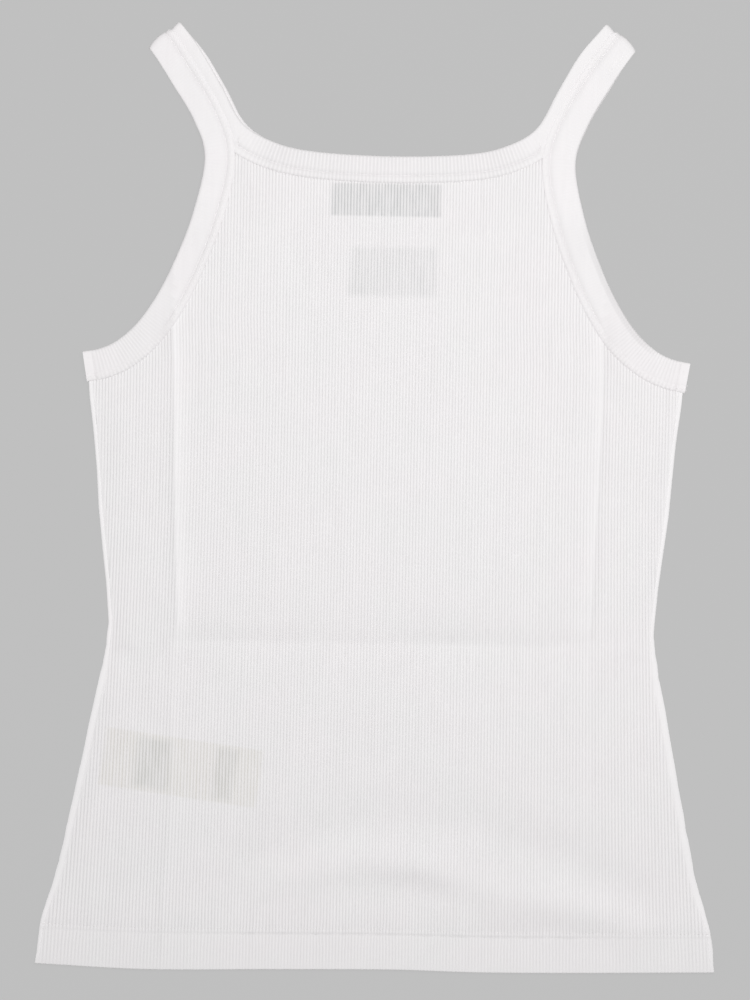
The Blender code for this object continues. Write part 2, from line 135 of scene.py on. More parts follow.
FRONT_FOLDS = [
    laid_fold("left_crease", 1.9, 4.6, 3.0, [
        (-141.2, 478, 0.0), (-140.2, 448, 0.65), (-139.4, 424, 1.0), (-137.9, 350, 1.0),
        (-136.6, 300, 0.95), (-133.6, 226, 0.9), (-134.8, 214, 0.35), (-136.5, 204, 0.2),
        (-135.5, 120, 0.2), (-136.5, 70, 0.12)], tone=(0.03, 6.0, -0.027, 3.6)),
    laid_fold("right_crease", 1.9, 2.8, 4.4, [
        (143.0, 470, 0.0), (142.6, 440, 0.7), (142.0, 420, 1.0), (141.4, 350, 0.95), (139.6, 300, 0.95),
        (136.6, 224, 0.8), (137.0, 212, 0.3), (138, 190, 0.25), (139.5, 110, 0.22), (141, 40, 0.08)
        ], tone=(-0.034, 3.2, 0.014, 6.0)),
    laid_fold("left_pinch", -0.35, 3.0, 4.5, [
        (-144.6, 430, 0.0), (-144.4, 418, 0.9), (-144.0, 408, 1.0), (-143.4, 394, 0.0)
        ], tone=(-0.03, 2.2, -0.045, 4.5)),
    laid_fold("right_pinch", -0.35, 4.5, 3.0, [
        (145.4, 428, 0.0), (145.6, 414, 0.9), (145.2, 404, 1.0), (144.6, 390, 0.0)
        ], tone=(-0.045, 4.5, -0.03, 2.2)),
    laid_fold("left_low_line", 0.3, 4.0, 3.0, [
        (-136.5, 122, 0.2), (-138.6, 76, 0.6), (-139.6, 40, 1.0), (-140.0, 4, 1.1)
        ], tone=(0.006, 5.0, -0.03, 2.6)),
    laid_fold("waist", -1.1, 7.5, 8.0, [
        (-137, 211.3, 0.3), (-122, 211.5, 0.9), (-95, 211.7, 1.0), (-60, 212.0, 0.85), (0, 212.6, 0.75),
        (25, 213.0, 1.2), (60, 213.4, 1.2), (88, 213.8, 0.7), (118, 214.0, 0.95), (138, 214.6, 0.3)
        ], tone=(-0.016, 11.0, 0.009, 12.0)),
    laid_fold("above_waist", -0.1, 6.0, 5.0, [
        (-134, 218, 0.4), (-118, 218, 0.9), (-95, 218.5, 1.1), (-60, 219, 0.7), (0, 219, 0.6),
        (25, 220, 1.2), (60, 219, 1.3), (88, 219, 0.6), (118, 220, 0.9), (136, 220, 0.2)
        ], tone=(-0.01, 6.5, -0.01, 4.5)),
    laid_fold("corner_kink", 0.9, 2.2, 3.6, [
        (-137, 218, 0.7), (-142, 211, 1.0), (-147, 206, 0.0)]),
    laid_fold("left_waist", 0.5, 5.0, 4.0, [
        (-178, 208, 0.6), (-165, 210.5, 1.0), (-146, 211, 0.2)], sharp=False),
    laid_fold("left_dimple", -1.0, 5.5, 7.5, [
        (-177, 196, 0.3), (-169, 202, 1.0), (-160, 206, 0.0)], tone=(-0.014, 5.0, 0.014, 9.0), sharp=False),
    laid_fold("right_dimple", -0.6, 6.0, 7.0, [
        (158, 207, 0.0), (168, 201, 1.0), (178, 192, 0.5)], sharp=False),
    laid_fold("right_waist", 0.45, 5.0, 5.0, [
        (146, 208, 0.2), (164, 211, 1.0), (178, 207, 0.5)], sharp=False),
    laid_fold("hem_ridge", 1.8, 12.5, 9.5, [
        (-92, 50, 0.0), (-65, 53, 0.45), (-35, 62, 0.75), (-5, 68, 0.95), (25, 67, 1.25), (42, 63, 1.0),
        (60, 56, 0.75), (85, 46, 1.2), (115, 43, 1.4), (150, 36, 1.0), (172, 28, 0.5), (190, 24, 0.0)
        ], tone=(0.013, 10.0, -0.005, 8.0), sharp=False),
    laid_fold("hem_patch", -0.25, 6.0, 5.0, [
        (60, 29, 0.0), (78, 28, 0.8), (110, 28.5, 1.0), (140, 29, 1.0), (156, 31, 0.0)
        ], tone=(-0.023, 7.0, -0.022, 4.0)),
    laid_fold("hem_spot", 0.5, 6.0, 7.0, [
        (-6, 66, 0.0), (24, 65, 1.0), (40, 61, 1.0), (58, 54, 0.0)
        ], tone=(0.0, 6.0, -0.022, 5.5), sharp=False),
    laid_fold("hem_hollow", -0.95, 14.0, 12.0, [
        (-116, 60, 0.0), (-66, 75, 0.8), (-35, 86, 0.8), (-5, 95, 0.8), (25, 97, 0.8), (55, 95, 1.0),
        (85, 84, 1.0), (115, 76, 1.3), (150, 57, 0.9), (176, 43, 0.7), (200, 34, 0.0)
        ], tone=(-0.01, 12.0, 0.006, 9.0), sharp=False),
    laid_fold("hem_swell", 0.55, 7.0, 7.0, [
        (-72, 38, 0.0), (-10, 37, 0.6), (24, 36, 1.0), (70, 37, 1.0), (98, 33, 0.0)], sharp=False),
    laid_fold("far_hollow", -0.35, 9.0, 10.0, [
        (88, 158, 0.0), (108, 148, 1.0), (130, 133, 0.3)], sharp=False),
    laid_fold("left_low", -0.4, 11.0, 12.0, [
        (-198, 58, 0.2), (-180, 74, 1.0), (-156, 96, 0.0)], sharp=False),
]
BACK_FOLDS = [
    laid_fold("left_crease", 0.9, 3.4, 4.0, [
        (-139, 420, 0.7), (-137, 300, 1.0), (-136, 216, 0.9), (-134, 150, 0.2), (-133, 40, 0.1)]),
    laid_fold("right_crease", 1.0, 3.6, 3.6, [
        (140, 422, 0.8), (138, 290, 1.0), (136, 214, 0.8), (138, 140, 0.2), (140, 50, 0.1)]),
    laid_fold("waist", 0.4, 7.0, 6.0, [
        (-172, 210, 0.4), (-90, 212, 1.0), (20, 213, 0.9), (120, 214, 1.0), (172, 211, 0.3)]),
    laid_fold("hem_left", 0.4, 11.0, 9.0, [
        (-168, 52, 0.0), (-120, 66, 1.0), (-60, 70, 0.8), (-8, 60, 0.0)], sharp=False),
    laid_fold("hem_right", 0.4, 10.0, 12.0, [
        (22, 88, 0.0), (74, 82, 1.0), (128, 68, 0.9), (176, 60, 0.0)], sharp=False),
]
SHARP_CREST = 0.5 * MM
CREST_OPENS = {"ribs": 0.80, "reach": 4.0 * MM}     # how much a pressed crest stretches its ribs flat
BINDING_CREASE = 0.45               # share of the front's folds that the bindings take
CREASES_MELT = 0.45                 # share of a fold's height kept where it meets a bound edge

# Rows of points up a panel above its hem fold: the height they reach, in millimetres, and how many.
PANEL_ROWS = [
    (21.2, 2), (27.3, 8), (104.0, 14), (190.0, 5), (226.0, 12), (396.0, 7), (440.0, 3), (534.0, 6),
]
FOLD_STEPS = 5                      # points round a folded edge
FOLD_SQUARED = 0.6                  # below 1 a binding's fold is squarer than a half circle
SHOULDER_STEPS = 8
RIB_STEPS = (0.0, 0.3, 0.5, 0.7)    # where a rib's points lie, as shares of its width
SPAN_STEPS = 24                     # of a smooth line, between two rows of its table

# The side seams' rolled strip without ribs: distance in from the edge and how low it lies, in millimetres.
SEAM_STRIP = [
    (0.0, 0.7), (0.4, 0.2), (1.3, 0.0), (2.8, 0.1), (3.9, 0.5),
]
SEAM_WAVE = 0.35 * MM               # how uneven its edge is
SEAM_NARROW = 0.55                  # share of the strip's width above the waist and in the hem
RIBS_FADE = 1.8 * MM

# Rib pitch at the hem against the chest, and how much more the ribs spread towards the sides.
HEM_SPREAD = 0.022
SIDE_SPREAD = 0.045
SPREAD_FROM = 310.0 * MM
SPREAD_X = 200.0 * MM

# Stitch rows.
HEM_INSIDE = 26.8 * MM              # height of the hem's raw edge inside, caught by the upper row
HEM_ROWS = (22.7 * MM, 26.0 * MM)   # the second one fainter
ROW_FROM_EDGE = 4.6 * MM            # from the inner edge of a binding
GROOVE_HALF = 0.7 * MM
FRONT_COVERS = 1.8                  # how far the front's edge reaches out over the back's, in drifts
HEM_ROW_SHADE = -0.080               # painted shade along the hem's stitch row
HEM_BAND_TONE = -0.012              # and the hem's double cloth is painted a little darker
# painted shade along a binding's stitch row, and a painted highlight on the cloth raised beside it
BINDING_ROW_SHADING = {"row": -0.055, "beside": 0.010}
GROOVE = {"binding": 0.60 * MM, "hem": 0.30 * MM, "second_hem": 0.18 * MM, "end": 0.35 * MM}
END_ROW = 6.0 * MM                  # the short row across a binding's end at the side seam
# painted shade along the short end row
END_ROW_SHADE = -0.090
SHALLOW_ROW = {"share": 0.35, "until": 45.0, "over": 25.0}      # an armhole's row by its side seam
SMOOTH_DEPTH = 0.10                 # share of the ribs' depth left in the straps
SMOOTH_TONE = -0.022                # an armhole binding's cloth above its ribs, painted darker in place of the ribs' painted valley shade
# Painted shadow on the right armhole binding's front, beside the back's edge: how dark, by distance in from
# the fold, and along the edge.
BACK_EDGE_SHADOW = {"tone": -0.095, "inward": (0.9, 1.8, 3.3, 4.3), "shape": (0.0, 1.0, 0.9, 0.0),
                  "place": (20.0, 34.0, 100.0, 125.0)}

# Labels inside, on the back panel: centre and size in millimetres, turn in degrees.
LABELS = [
    {"name": "neck_label", "x": -2.2, "y": 501.5, "width": 73.0, "height": 20.0, "turn": 0.0},
    {"name": "size_label", "x": 3.3, "y": 456.0, "width": 59.0, "height": 34.0, "turn": 0.0},
    {"name": "care_label", "x": -127.0, "y": 123.0, "width": 100.0, "height": 43.0, "turn": -8.0},
]
LABEL_WALL = 0.35 * MM


# --- Settings ----------------------------------------------------------------------------------

DISTANCE = {"unit": "LENGTH", "subtype": "DISTANCE"}
COLOUR = {"size": 3, "min": 0.0, "max": 1.0, "subtype": "COLOR"}


class TankTopCloth(bpy.types.PropertyGroup):
    """The rib-knit cloth."""

    wall: FloatProperty(
        name="Cloth wall", description="Thickness of one layer of cloth, without its ribs",
        default=0.70 * MM, min=0.2 * MM, max=1.0 * MM, **DISTANCE)
    binding_wall: FloatProperty(
        name="Binding wall", description="Thickness of one leaf of a binding, without its ribs",
        default=0.90 * MM, min=0.2 * MM, max=1.0 * MM, **DISTANCE)
    rib_pitch: FloatProperty(
        name="Rib pitch", description="Width of one rib of the body at the chest",
        default=2.03 * MM, min=1.0 * MM, max=6.0 * MM, **DISTANCE)
    rib_relief: FloatProperty(
        name="Rib relief", description="How far a rib stands above and sinks below the cloth's middle",
        default=0.24 * MM, min=0.0, max=0.4 * MM, **DISTANCE)
    neck_pitch: FloatProperty(
        name="Neck rib pitch", description="Width of one rib of the neck binding along its folded edge",
        default=2.36 * MM, min=1.0 * MM, max=6.0 * MM, **DISTANCE)
    armhole_pitch: FloatProperty(
        name="Armhole rib pitch", description="Width of one rib of an armhole binding",
        default=1.95 * MM, min=1.0 * MM, max=6.0 * MM, **DISTANCE)
    course: FloatProperty(
        name="Course height", description="Height of one row of knit loops",
        default=0.80 * MM, min=0.3 * MM, max=3.0 * MM, **DISTANCE)
    colour: FloatVectorProperty(
        name="Cloth colour", description="Colour of the white cotton",
        default=(0.893, 0.873, 0.881), **COLOUR)
    binding_colour: FloatVectorProperty(
        name="Binding colour", description="Colour of the bindings, which lie in more layers",
        default=(0.880, 0.856, 0.865), **COLOUR)


class TankTopThread(bpy.types.PropertyGroup):
    """The sewing thread and its stitches."""

    radius: FloatProperty(
        name="Thread radius", description="Radius of the sewing thread",
        default=0.15 * MM, min=0.05 * MM, max=0.5 * MM, **DISTANCE)
    pitch: FloatProperty(
        name="Stitch pitch", description="Distance from one stitch to the next",
        default=2.7 * MM, min=1.0 * MM, max=8.0 * MM, **DISTANCE)
    seed: IntProperty(name="Stitch seed", description="Seed of the stitches' unevenness", default=11, min=0)
    colour: FloatVectorProperty(
        name="Thread colour", description="Colour of the thread",
        default=(0.85, 0.828, 0.834), **COLOUR)


class TankTopStudio(bpy.types.PropertyGroup):
    """The floor, the light and the camera."""

    floor_colour: FloatVectorProperty(
        name="Floor colour", description="Colour of the plain, evenly lit floor",
        default=(0.49, 0.49, 0.49), **COLOUR)
    floor_shade: FloatProperty(
        name="Floor shade", description="How much of the floor's brightness comes from the lights above it",
        default=0.07, min=0.0, max=1.0, subtype="FACTOR")
    key_power: FloatProperty(
        name="Key light", description="Power of the soft light over the chest, in watts",
        default=14.3, min=0.0, max=500.0)
    fill: FloatProperty(
        name="Fill", description="Strength of the even light from all round", default=0.45, min=0.0, max=5.0)
    camera_height: FloatProperty(
        name="Camera height", description="Height of the camera above the floor",
        default=3.0, min=0.5, max=10.0, **DISTANCE)
    view_length: FloatProperty(
        name="View length", description="Length of floor that the picture's long side takes in",
        default=656.1 * MM, min=0.1, max=3.0, **DISTANCE)
    view_x: FloatProperty(
        name="View X", description="Place under the middle of the picture",
        default=-5.7 * MM, **DISTANCE)
    view_y: FloatProperty(
        name="View Y", description="Place under the middle of the picture",
        default=-1.8 * MM, **DISTANCE)
    view_turn: FloatProperty(
        name="View turn", description="Turn of the camera about the vertical",
        default=math.radians(1.118), unit="ROTATION", subtype="ANGLE")


# --- Lines and surfaces of the garment ---------------------------------------------------------

def smoothstep(value):
    """0 below 0, 1 above 1, and a smooth rise between."""
    value = np.clip(value, 0.0, 1.0)
    return value * value * (3.0 - 2.0 * value)


def rises(value, start, over):
    """0 up to a start, then smoothly to 1 over a distance; both are in millimetres."""
    return smoothstep((value - start * MM) / (over * MM))


def falls(value, start, over):
    return 1.0 - rises(value, start, over)


def ridge(distance, reach):
    """1 on a line, falling to 0 on both sides of it."""
    return np.exp(-((distance / reach) ** 2))


def catmull_rom(points, steps=SPAN_STEPS):
    """A smooth polyline through the points, with ghost points past both ends."""
    ends = np.vstack([2 * points[0] - points[1], points, 2 * points[-1] - points[-2]])
    t = (np.arange(steps) / steps)[:, None]
    spans = [
        0.5 * (2 * b + (c - a) * t + (2 * a - 5 * b + 4 * c - d) * t**2 + (3 * b - a - 3 * c + d) * t**3)
        for a, b, c, d in zip(ends, ends[1:], ends[2:], ends[3:])
    ]
    return np.vstack([*spans, points[-1:]])


def table_line(rows):
    """A smooth line through a table in millimetres."""
    return catmull_rom(np.array(rows, float) * MM)


def read_line(line, value):
    """The second coordinate of a line whose first one rises."""
    return np.interp(value, line[:, 0], line[:, 1])


def unit(vectors):
    return vectors / np.linalg.norm(vectors, axis=-1, keepdims=True)


def distance_to_run(x, y, x0, y0, x1, y1):
    """Distance from places to a straight run, how far along it they are, and on which side."""
    run = (x1 - x0) ** 2 + (y1 - y0) ** 2
    part = np.clip(((x - x0) * (x1 - x0) + (y - y0) * (y1 - y0)) / run, 0.0, 1.0)
    side = (x1 - x0) * (y - y0) - (y1 - y0) * (x - x0)
    return np.hypot(x - x0 - part * (x1 - x0), y - y0 - part * (y1 - y0)), part, side


def distance_to_line(x, y, line):
    found = np.full(np.shape(x), np.inf)
    for p, q in zip(line, line[1:]):
        found = np.minimum(found, distance_to_run(x, y, *p, *q)[0])
    return found


def strap_top_direction():
    """Along the strap at its shoulder fold, square to the line between its two edges."""
    across = unit(np.subtract(ARMHOLE_EDGE[-1], NECK_EDGE[-1]))
    return np.array([-across[1], across[0]])


STRAP_TOP = strap_top_direction()
STRAP_CORNER = np.array(NECK_EDGE[-1]) * MM


def below_shoulder(x, y):
    """Distance along the strap from its shoulder fold down to a place."""
    return (STRAP_CORNER[0] - np.abs(x)) * STRAP_TOP[0] + (STRAP_CORNER[1] - y) * STRAP_TOP[1]


def neck_line():
    """The right half of the neckline, level where it crosses the centre."""
    x, y = NECK_EDGE[1]
    return table_line([(-x, y), *NECK_EDGE])[SPAN_STEPS:]


def line_lengths(line):
    return np.concatenate([[0.0], np.cumsum(np.hypot(*np.diff(line, axis=0).T))])


def at_length(line, lengths, places):
    return np.stack([np.interp(places, lengths, line[:, axis]) for axis in (0, 1)], axis=-1)


def edge_run(line, hand, places):
    """An edge at these distances along it: its place, its unit tangent and the unit vector into the cloth."""
    lengths = line_lengths(line)
    at = at_length(line, lengths, places)
    ahead = at_length(line, lengths, np.minimum(places + TANGENT_REACH, lengths[-1]))
    behind = at_length(line, lengths, np.maximum(places - TANGENT_REACH, 0.0))
    near_top = smoothstep(1.0 - below_shoulder(at[:, 0], at[:, 1]) / STRAP_SQUARED)[:, None]
    along = unit(unit(ahead - behind) * (1.0 - near_top) + STRAP_TOP * near_top)
    into = np.stack([hand * along[:, 1], -hand * along[:, 0]], axis=-1)
    return {"at": at, "along": along, "into": into, "place": places}


def room_beside(run, line):
    """Distance from each station straight into the cloth to a polyline, large where it misses."""
    starts, steps = line[:-1], np.diff(line, axis=0)
    at = run["at"][:, None, :] - starts[None]
    spread = run["into"][:, None, 0] * steps[None, :, 1] - run["into"][:, None, 1] * steps[None, :, 0]
    spread = np.where(np.abs(spread) < 1e-12, 1e-12, spread)
    ahead = -(at[..., 0] * steps[None, :, 1] - at[..., 1] * steps[None, :, 0]) / spread
    part = -(at[..., 0] * run["into"][:, None, 1] - at[..., 1] * run["into"][:, None, 0]) / spread
    meets = (part >= -0.05) & (part <= 1.05) & (ahead > 0)
    return np.where(meets, ahead, np.inf).min(axis=1)


HEM_LINE = table_line(HEM_SAG)
SIDE_LINE = table_line(SIDE_SEAM)
NECK_LINE = neck_line()
ARMHOLE_LINE = table_line(ARMHOLE_EDGE)


def whole_run(line, hand, spacing):
    """Stations all along an edge, about this far apart."""
    length = line_lengths(line)[-1]
    return edge_run(line, hand, np.linspace(0.0, length, max(round(length / spacing), 2) + 1))


COARSE_ARMHOLE = whole_run(ARMHOLE_LINE, -1, 3.0 * MM)
COARSE_NECK = whole_run(NECK_LINE, 1, 3.0 * MM)
ARMHOLE_LEAF = COARSE_ARMHOLE["at"] + COARSE_ARMHOLE["into"] * ARMHOLE_BINDING


def inset_line(run, inset):
    return run["at"] + run["into"] * inset


def sorted_by_first(points):
    return points[np.argsort(points[:, 0])]


def panel_side_line():
    """Half the panel's width above the armpit, by height."""
    line = inset_line(COARSE_ARMHOLE, PANEL_INSET)[:, ::-1]
    return sorted_by_first(line[line[:, 0] < STRAP_CUT_OFF])


ARMHOLE_INSET = panel_side_line()
NECK_INSET = inset_line(COARSE_NECK, PANEL_INSET)
TOP_HALF_WIDTH = float(read_line(ARMHOLE_INSET, STRAP_BASE_HEIGHT))


def panel_half_width(height):
    """Half a panel's width: to the side seam, and above the armpit into the armhole binding."""
    side = read_line(SIDE_LINE, height)
    return np.where(height <= UNDERARM_HEIGHT, side, read_line(ARMHOLE_INSET, height))


def panel_top(x):
    """The panel's top edge, tucked into the neck binding, then cut off across the strap's base."""
    x = np.abs(x)
    corner = read_line(NECK_INSET, STRAP_CORNER_X)
    part = np.clip((x - STRAP_CORNER_X) / (TOP_HALF_WIDTH - STRAP_CORNER_X), 0.0, 1.0)
    under_strap = corner + (STRAP_BASE_HEIGHT - corner) * part
    return np.where(x <= STRAP_CORNER_X, read_line(NECK_INSET, x), under_strap)


def edge_stack(gap):
    """Half the thickness of all the layers at a bound edge, and each side's middle from the centre."""
    offset = gap / 2 + WALL + GAP / 2
    return offset + gap / 2 + WALL, offset


EDGE_CENTRE, EDGE_OFFSET = edge_stack(PANEL_GAP)
BACK_LEVEL = {"body": WALL / 2, "edge": EDGE_CENTRE - EDGE_OFFSET, "turn": 1.5 * WALL + GAP}
BACK_LEVEL["hem"] = BACK_LEVEL["body"]
FRONT_LEVEL = {
    "body": 1.5 * WALL + AIR,
    "edge": EDGE_CENTRE + EDGE_OFFSET,
    "seam": 1.5 * WALL + GAP,
    "turn": 2.5 * WALL + 2 * GAP,
    "hem": 3.5 * WALL + 3 * GAP,
}


def bound_lines():
    """The free edges of the bindings, as far up as a panel lies in them."""
    lines = []
    for run in (COARSE_NECK, COARSE_ARMHOLE):
        at = run["at"]
        lines.append(at[below_shoulder(at[:, 0], at[:, 1]) > STRAP_THINS["from"]])
    return lines


BOUND_LINES = bound_lines()


def near_bound_edge(x, y):
    """1 where a panel lies in a binding, falling to 0 in the body."""
    distance = np.minimum(*(distance_to_line(np.abs(x), y, line) for line in BOUND_LINES))
    return 1.0 - smoothstep((distance - EDGE_FLAT) / EDGE_FALL)


def beside_fold(x, y, fold):
    """Distance from a fold's line, the share of its strength there, and whether a place lies on its left."""
    nearest = np.full(np.shape(x), np.inf)
    share = np.zeros(np.shape(x))
    on_left = np.zeros(np.shape(x), bool)
    for (x0, y0, start), (x1, y1, end) in zip(fold["line"], fold["line"][1:]):
        away, part, side = distance_to_run(x, y, x0 * MM, y0 * MM, x1 * MM, y1 * MM)
        closer = away < nearest
        nearest = np.where(closer, away, nearest)
        share = np.where(closer, start + (end - start) * part, share)
        on_left = np.where(closer, side > 0, on_left)
    return nearest, share, on_left


def fold_height(x, y, folds):
    """How far the folds and creases lift or sink the cloth."""
    total = np.zeros(np.shape(x))
    for fold in folds:
        away, share, on_left = beside_fold(x, y, fold)
        reach = np.where(on_left, fold["left"], fold["right"]) * MM
        if fold["sharp"]:
            shape = np.exp(-(np.hypot(away, SHARP_CREST) - SHARP_CREST) / reach)
        else:
            shape = ridge(away, reach)
        total += share * fold["height"] * MM * shape
    return total


def painted_fold_light(x, y, folds):
    """Painted light, or painted shade below 0, beside the pressed folds, adding to the light and shade of
    their slopes.
    """
    total = np.zeros(np.shape(x))
    for fold in folds:
        if fold["tone"] is None:
            continue
        left, left_reach, right, right_reach = fold["tone"]
        away, share, on_left = beside_fold(x, y, fold)
        steps = away / np.where(on_left, left_reach, right_reach) / MM
        shape = np.exp(-steps) if fold["sharp"] else steps * np.exp(0.5 - 0.5 * steps**2)
        total += share * np.where(on_left, left, right) * shape
    return total


def rib_opening(x, y, folds):
    """Share of the ribs' depth left on the inner side of the pressed creases down the garment."""
    left = np.ones(np.shape(x))
    for fold in folds:
        if not fold["name"].endswith("_crease"):
            continue
        away, share, on_left = beside_fold(x, y, fold)
        inner = on_left == (fold["name"] == "left_crease")
        reach = np.where(inner, CREST_OPENS["reach"], 0.7 * MM)
        left *= 1.0 - CREST_OPENS["ribs"] * share * np.exp(-away / reach)
    return left


def slow_wave(x, y):
    """The slight unevenness of cloth laid down by hand, between -1 and 1."""
    return (
        0.45 * np.sin(x / 0.031 + 1.7 * np.sin(y / 0.074))
        + 0.35 * np.sin(y / 0.043 + 1.3 * np.sin(x / 0.058) + 0.8)
        + 0.20 * np.sin((x + y) / 0.017 + 2.1)
    )


def uneven(place, wavelength):
    """An irregular wave along a line, between -1 and 1."""
    turn = 2 * np.pi * place / wavelength
    return 0.5 * np.sin(turn) + 0.3 * np.sin(2.17 * turn + 1.1) + 0.2 * np.sin(4.61 * turn + 2.3)


def back_height(x, y):
    """The middle of the back panel's wall."""
    level = BACK_LEVEL["body"] + (BACK_LEVEL["edge"] - BACK_LEVEL["body"]) * near_bound_edge(x, y)
    return level + np.maximum(fold_height(x, y, BACK_FOLDS), 0.0)


def front_height(x, y):
    """The middle of the front panel's wall."""
    edge = near_bound_edge(x, y)
    hem = 1.0 - smoothstep((y - HEM_FLAT) / HEM_FALL)
    side = smoothstep((panel_half_width(y) - np.abs(x)) / SEAM_RISE)
    body = FRONT_LEVEL["seam"] + (FRONT_LEVEL["body"] - FRONT_LEVEL["seam"]) * side
    body = body + SLOW_WAVE * slow_wave(x, y) * side * (1.0 - edge) * (1.0 - 0.5 * hem)
    height = body + (FRONT_LEVEL["edge"] - body) * edge
    height = height + (FRONT_LEVEL["hem"] - height) * hem
    calm = (1.0 - (1.0 - CREASES_MELT) * edge) * rises(y, 2, 24)
    return height + fold_height(x, y, FRONT_FOLDS) * side * calm


def laid_offset(x, y, turned):
    """How far a layer lies from its pattern: off to one side above the armpits, uneven at the hem."""
    drift = DRIFT if turned else -DRIFT
    centre = 1.0 - smoothstep((np.abs(x) - DRIFT_STARTS["x"]) / NECK_CENTRE_RAMP)
    shift = (1.0 - centre) * smoothstep((y - DRIFT_STARTS["height"]) / DRIFT_RAMP)
    shift = shift * smoothstep((below_shoulder(x, y) - DRIFT_STARTS["below_shoulder"]) / DRIFT_RAMP)
    up = (y - NECK_DROP_BAND["from"]) / (NECK_DROP_BAND["to"] - NECK_DROP_BAND["from"])
    drop = (BACK_NECK_DROP if turned else 0.0) * centre * smoothstep(up)
    lift = RIGHT_STRAP_LIFT * (1.0 - smoothstep(below_shoulder(x, y) / STRAP_LIFT_REACH))
    drop = drop - np.where(x > 0, lift, 0.0)
    drop = drop + read_line(HEM_LINE, x) * (1.0 - smoothstep(y / HEM_SAG_REACH))
    return drift * shift, -drop


def rib_spread(y):
    """How much wider the ribs are at a height: all over, and more towards the sides."""
    low = 1.0 - np.clip(y / SPREAD_FROM, 0.0, 1.0)
    return HEM_SPREAD * low, SIDE_SPREAD * low**1.5


def rib_to_x(across, y):
    """Where a rib that lies this far across at the chest lies at a height."""
    overall, sides = rib_spread(y)
    return across * (1.0 + overall + sides * (across / SPREAD_X) ** 2)


def x_to_rib(x, y):
    """The opposite of rib_to_x."""
    overall, sides = rib_spread(y)
    across = x.copy()
    for _ in range(6):
        across = x / (1.0 + overall + sides * (across / SPREAD_X) ** 2)
    return across


# --- Meshes ------------------------------------------------------------------------------------

MERGE = 0.015 * MM
KNIT = "knit"                       # attribute: rib number, course number, depth of the ribs
PAINTED_LIGHT = "painted_light"                 # attribute: painted light, or painted shade below 0, that scales the cloth's colour
FACING = "facing"                   # attribute of a stitch row: which way is out of the cloth
SHARP = math.radians(50)


def sheet_mesh(name, points, knit=None, painted_light=None, flip=False):
    """A sheet from a grid of points, rows by columns, merged where they meet."""
    rows, columns = points.shape[:2]
    index = np.arange(rows * columns).reshape(rows, columns)
    corners = [index[:-1, :-1], index[:-1, 1:], index[1:, 1:], index[1:, :-1]]
    faces = np.stack([c.ravel() for c in (corners[::-1] if flip else corners)], axis=-1)
    mesh = bpy.data.meshes.new(name)
    mesh.from_pydata(points.reshape(-1, 3), [], faces.tolist())
    if knit is not None:
        mesh.attributes.new(KNIT, "FLOAT_VECTOR", "POINT").data.foreach_set("vector", knit.ravel())
        mesh.attributes.new(PAINTED_LIGHT, "FLOAT", "POINT").data.foreach_set("value", painted_light.ravel())
    build = bmesh.new()
    build.from_mesh(mesh)
    bmesh.ops.remove_doubles(build, verts=build.verts, dist=MERGE)
    build.to_mesh(mesh)
    build.free()
    mesh.shade_smooth()
    return mesh


def to_frame(x, y, z):
    return np.stack([x, y - CENTRE_HEIGHT, np.broadcast_to(z, np.shape(x))], axis=-1)


def new_object(name, mesh):
    made = bpy.data.objects.new(name, mesh)
    bpy.context.scene.collection.objects.link(made)
    return made


def set_input(modifier, name, value):
    """Sets one of a Geometry Nodes modifier's inputs by its socket's identifier."""
    for item in modifier.node_group.interface.items_tree:
        if item.item_type == "SOCKET" and item.in_out == "INPUT" and item.name == name:
            modifier[item.identifier] = value
            return
    raise KeyError(name)


def bake(made):
    """Turns an object with its modifiers into a plain mesh."""
    graph = bpy.context.evaluated_depsgraph_get()
    mesh = bpy.data.meshes.new_from_object(made.evaluated_get(graph))
    made.modifiers.clear()
    made.data = mesh
    mesh.shade_smooth()
    mesh.set_sharp_from_angle(angle=SHARP)
    return made


def knitted(name, mesh, relief, material, thickness):
    """Raises the ribs of a sheet, gives it its wall and finishes it."""
    made = new_object(name, mesh)
    ribs = made.modifiers.new("ribs", "NODES")
    ribs.node_group = rib_tree()
    set_input(ribs, "Relief", relief)
    set_input(ribs, "Cloth", material)
    wall = made.modifiers.new("wall", "SOLIDIFY")
    wall.thickness = thickness
    wall.offset = 0.0
    return bake(made)


def finish_piece(made, nodes=()):
    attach(made, "root")
    if nodes:
        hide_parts(*nodes)
    return made


# --- Node trees --------------------------------------------------------------------------------

def add_node(tree, kind, inputs=None, **settings):
    """A node with its settings, its inputs set to values or linked to outputs."""
    node = tree.nodes.new(kind)
    for name, value in settings.items():
        setattr(node, name, value)
    for socket, value in (inputs or {}).items():
        target = node.inputs[socket]
        if isinstance(value, bpy.types.NodeSocket):
            tree.links.new(value, target)
        else:
            target.default_value = value
    return node


def maths(tree, operation, *values, clamp=False):
    node = add_node(tree, "ShaderNodeMath", dict(enumerate(values)), operation=operation, use_clamp=clamp)
    return node.outputs[0]


def vector_maths(tree, operation, first, second):
    key = "Scale" if operation == "SCALE" else 1
    return add_node(tree, "ShaderNodeVectorMath", {0: first, key: second}, operation=operation).outputs[0]


def parts_of(tree, vector):
    """The three parts of a vector."""
    return add_node(tree, "ShaderNodeSeparateXYZ", {0: vector}).outputs


def noise(tree, place, scale, detail):
    return add_node(
        tree, "ShaderNodeTexNoise", {"Vector": place, "Scale": scale, "Detail": detail}).outputs[0]


def mixed(tree, factor, first, second):
    """Two colours mixed by a factor."""
    inputs = {"Factor": factor, 6: first, 7: second}
    return add_node(tree, "ShaderNodeMix", inputs, data_type="RGBA").outputs[2]


def point_vector(tree, name):
    """Geometry Nodes: a vector attribute of the points."""
    node = add_node(tree, "GeometryNodeInputNamedAttribute", {"Name": name}, data_type="FLOAT_VECTOR")
    return node.outputs["Attribute"]


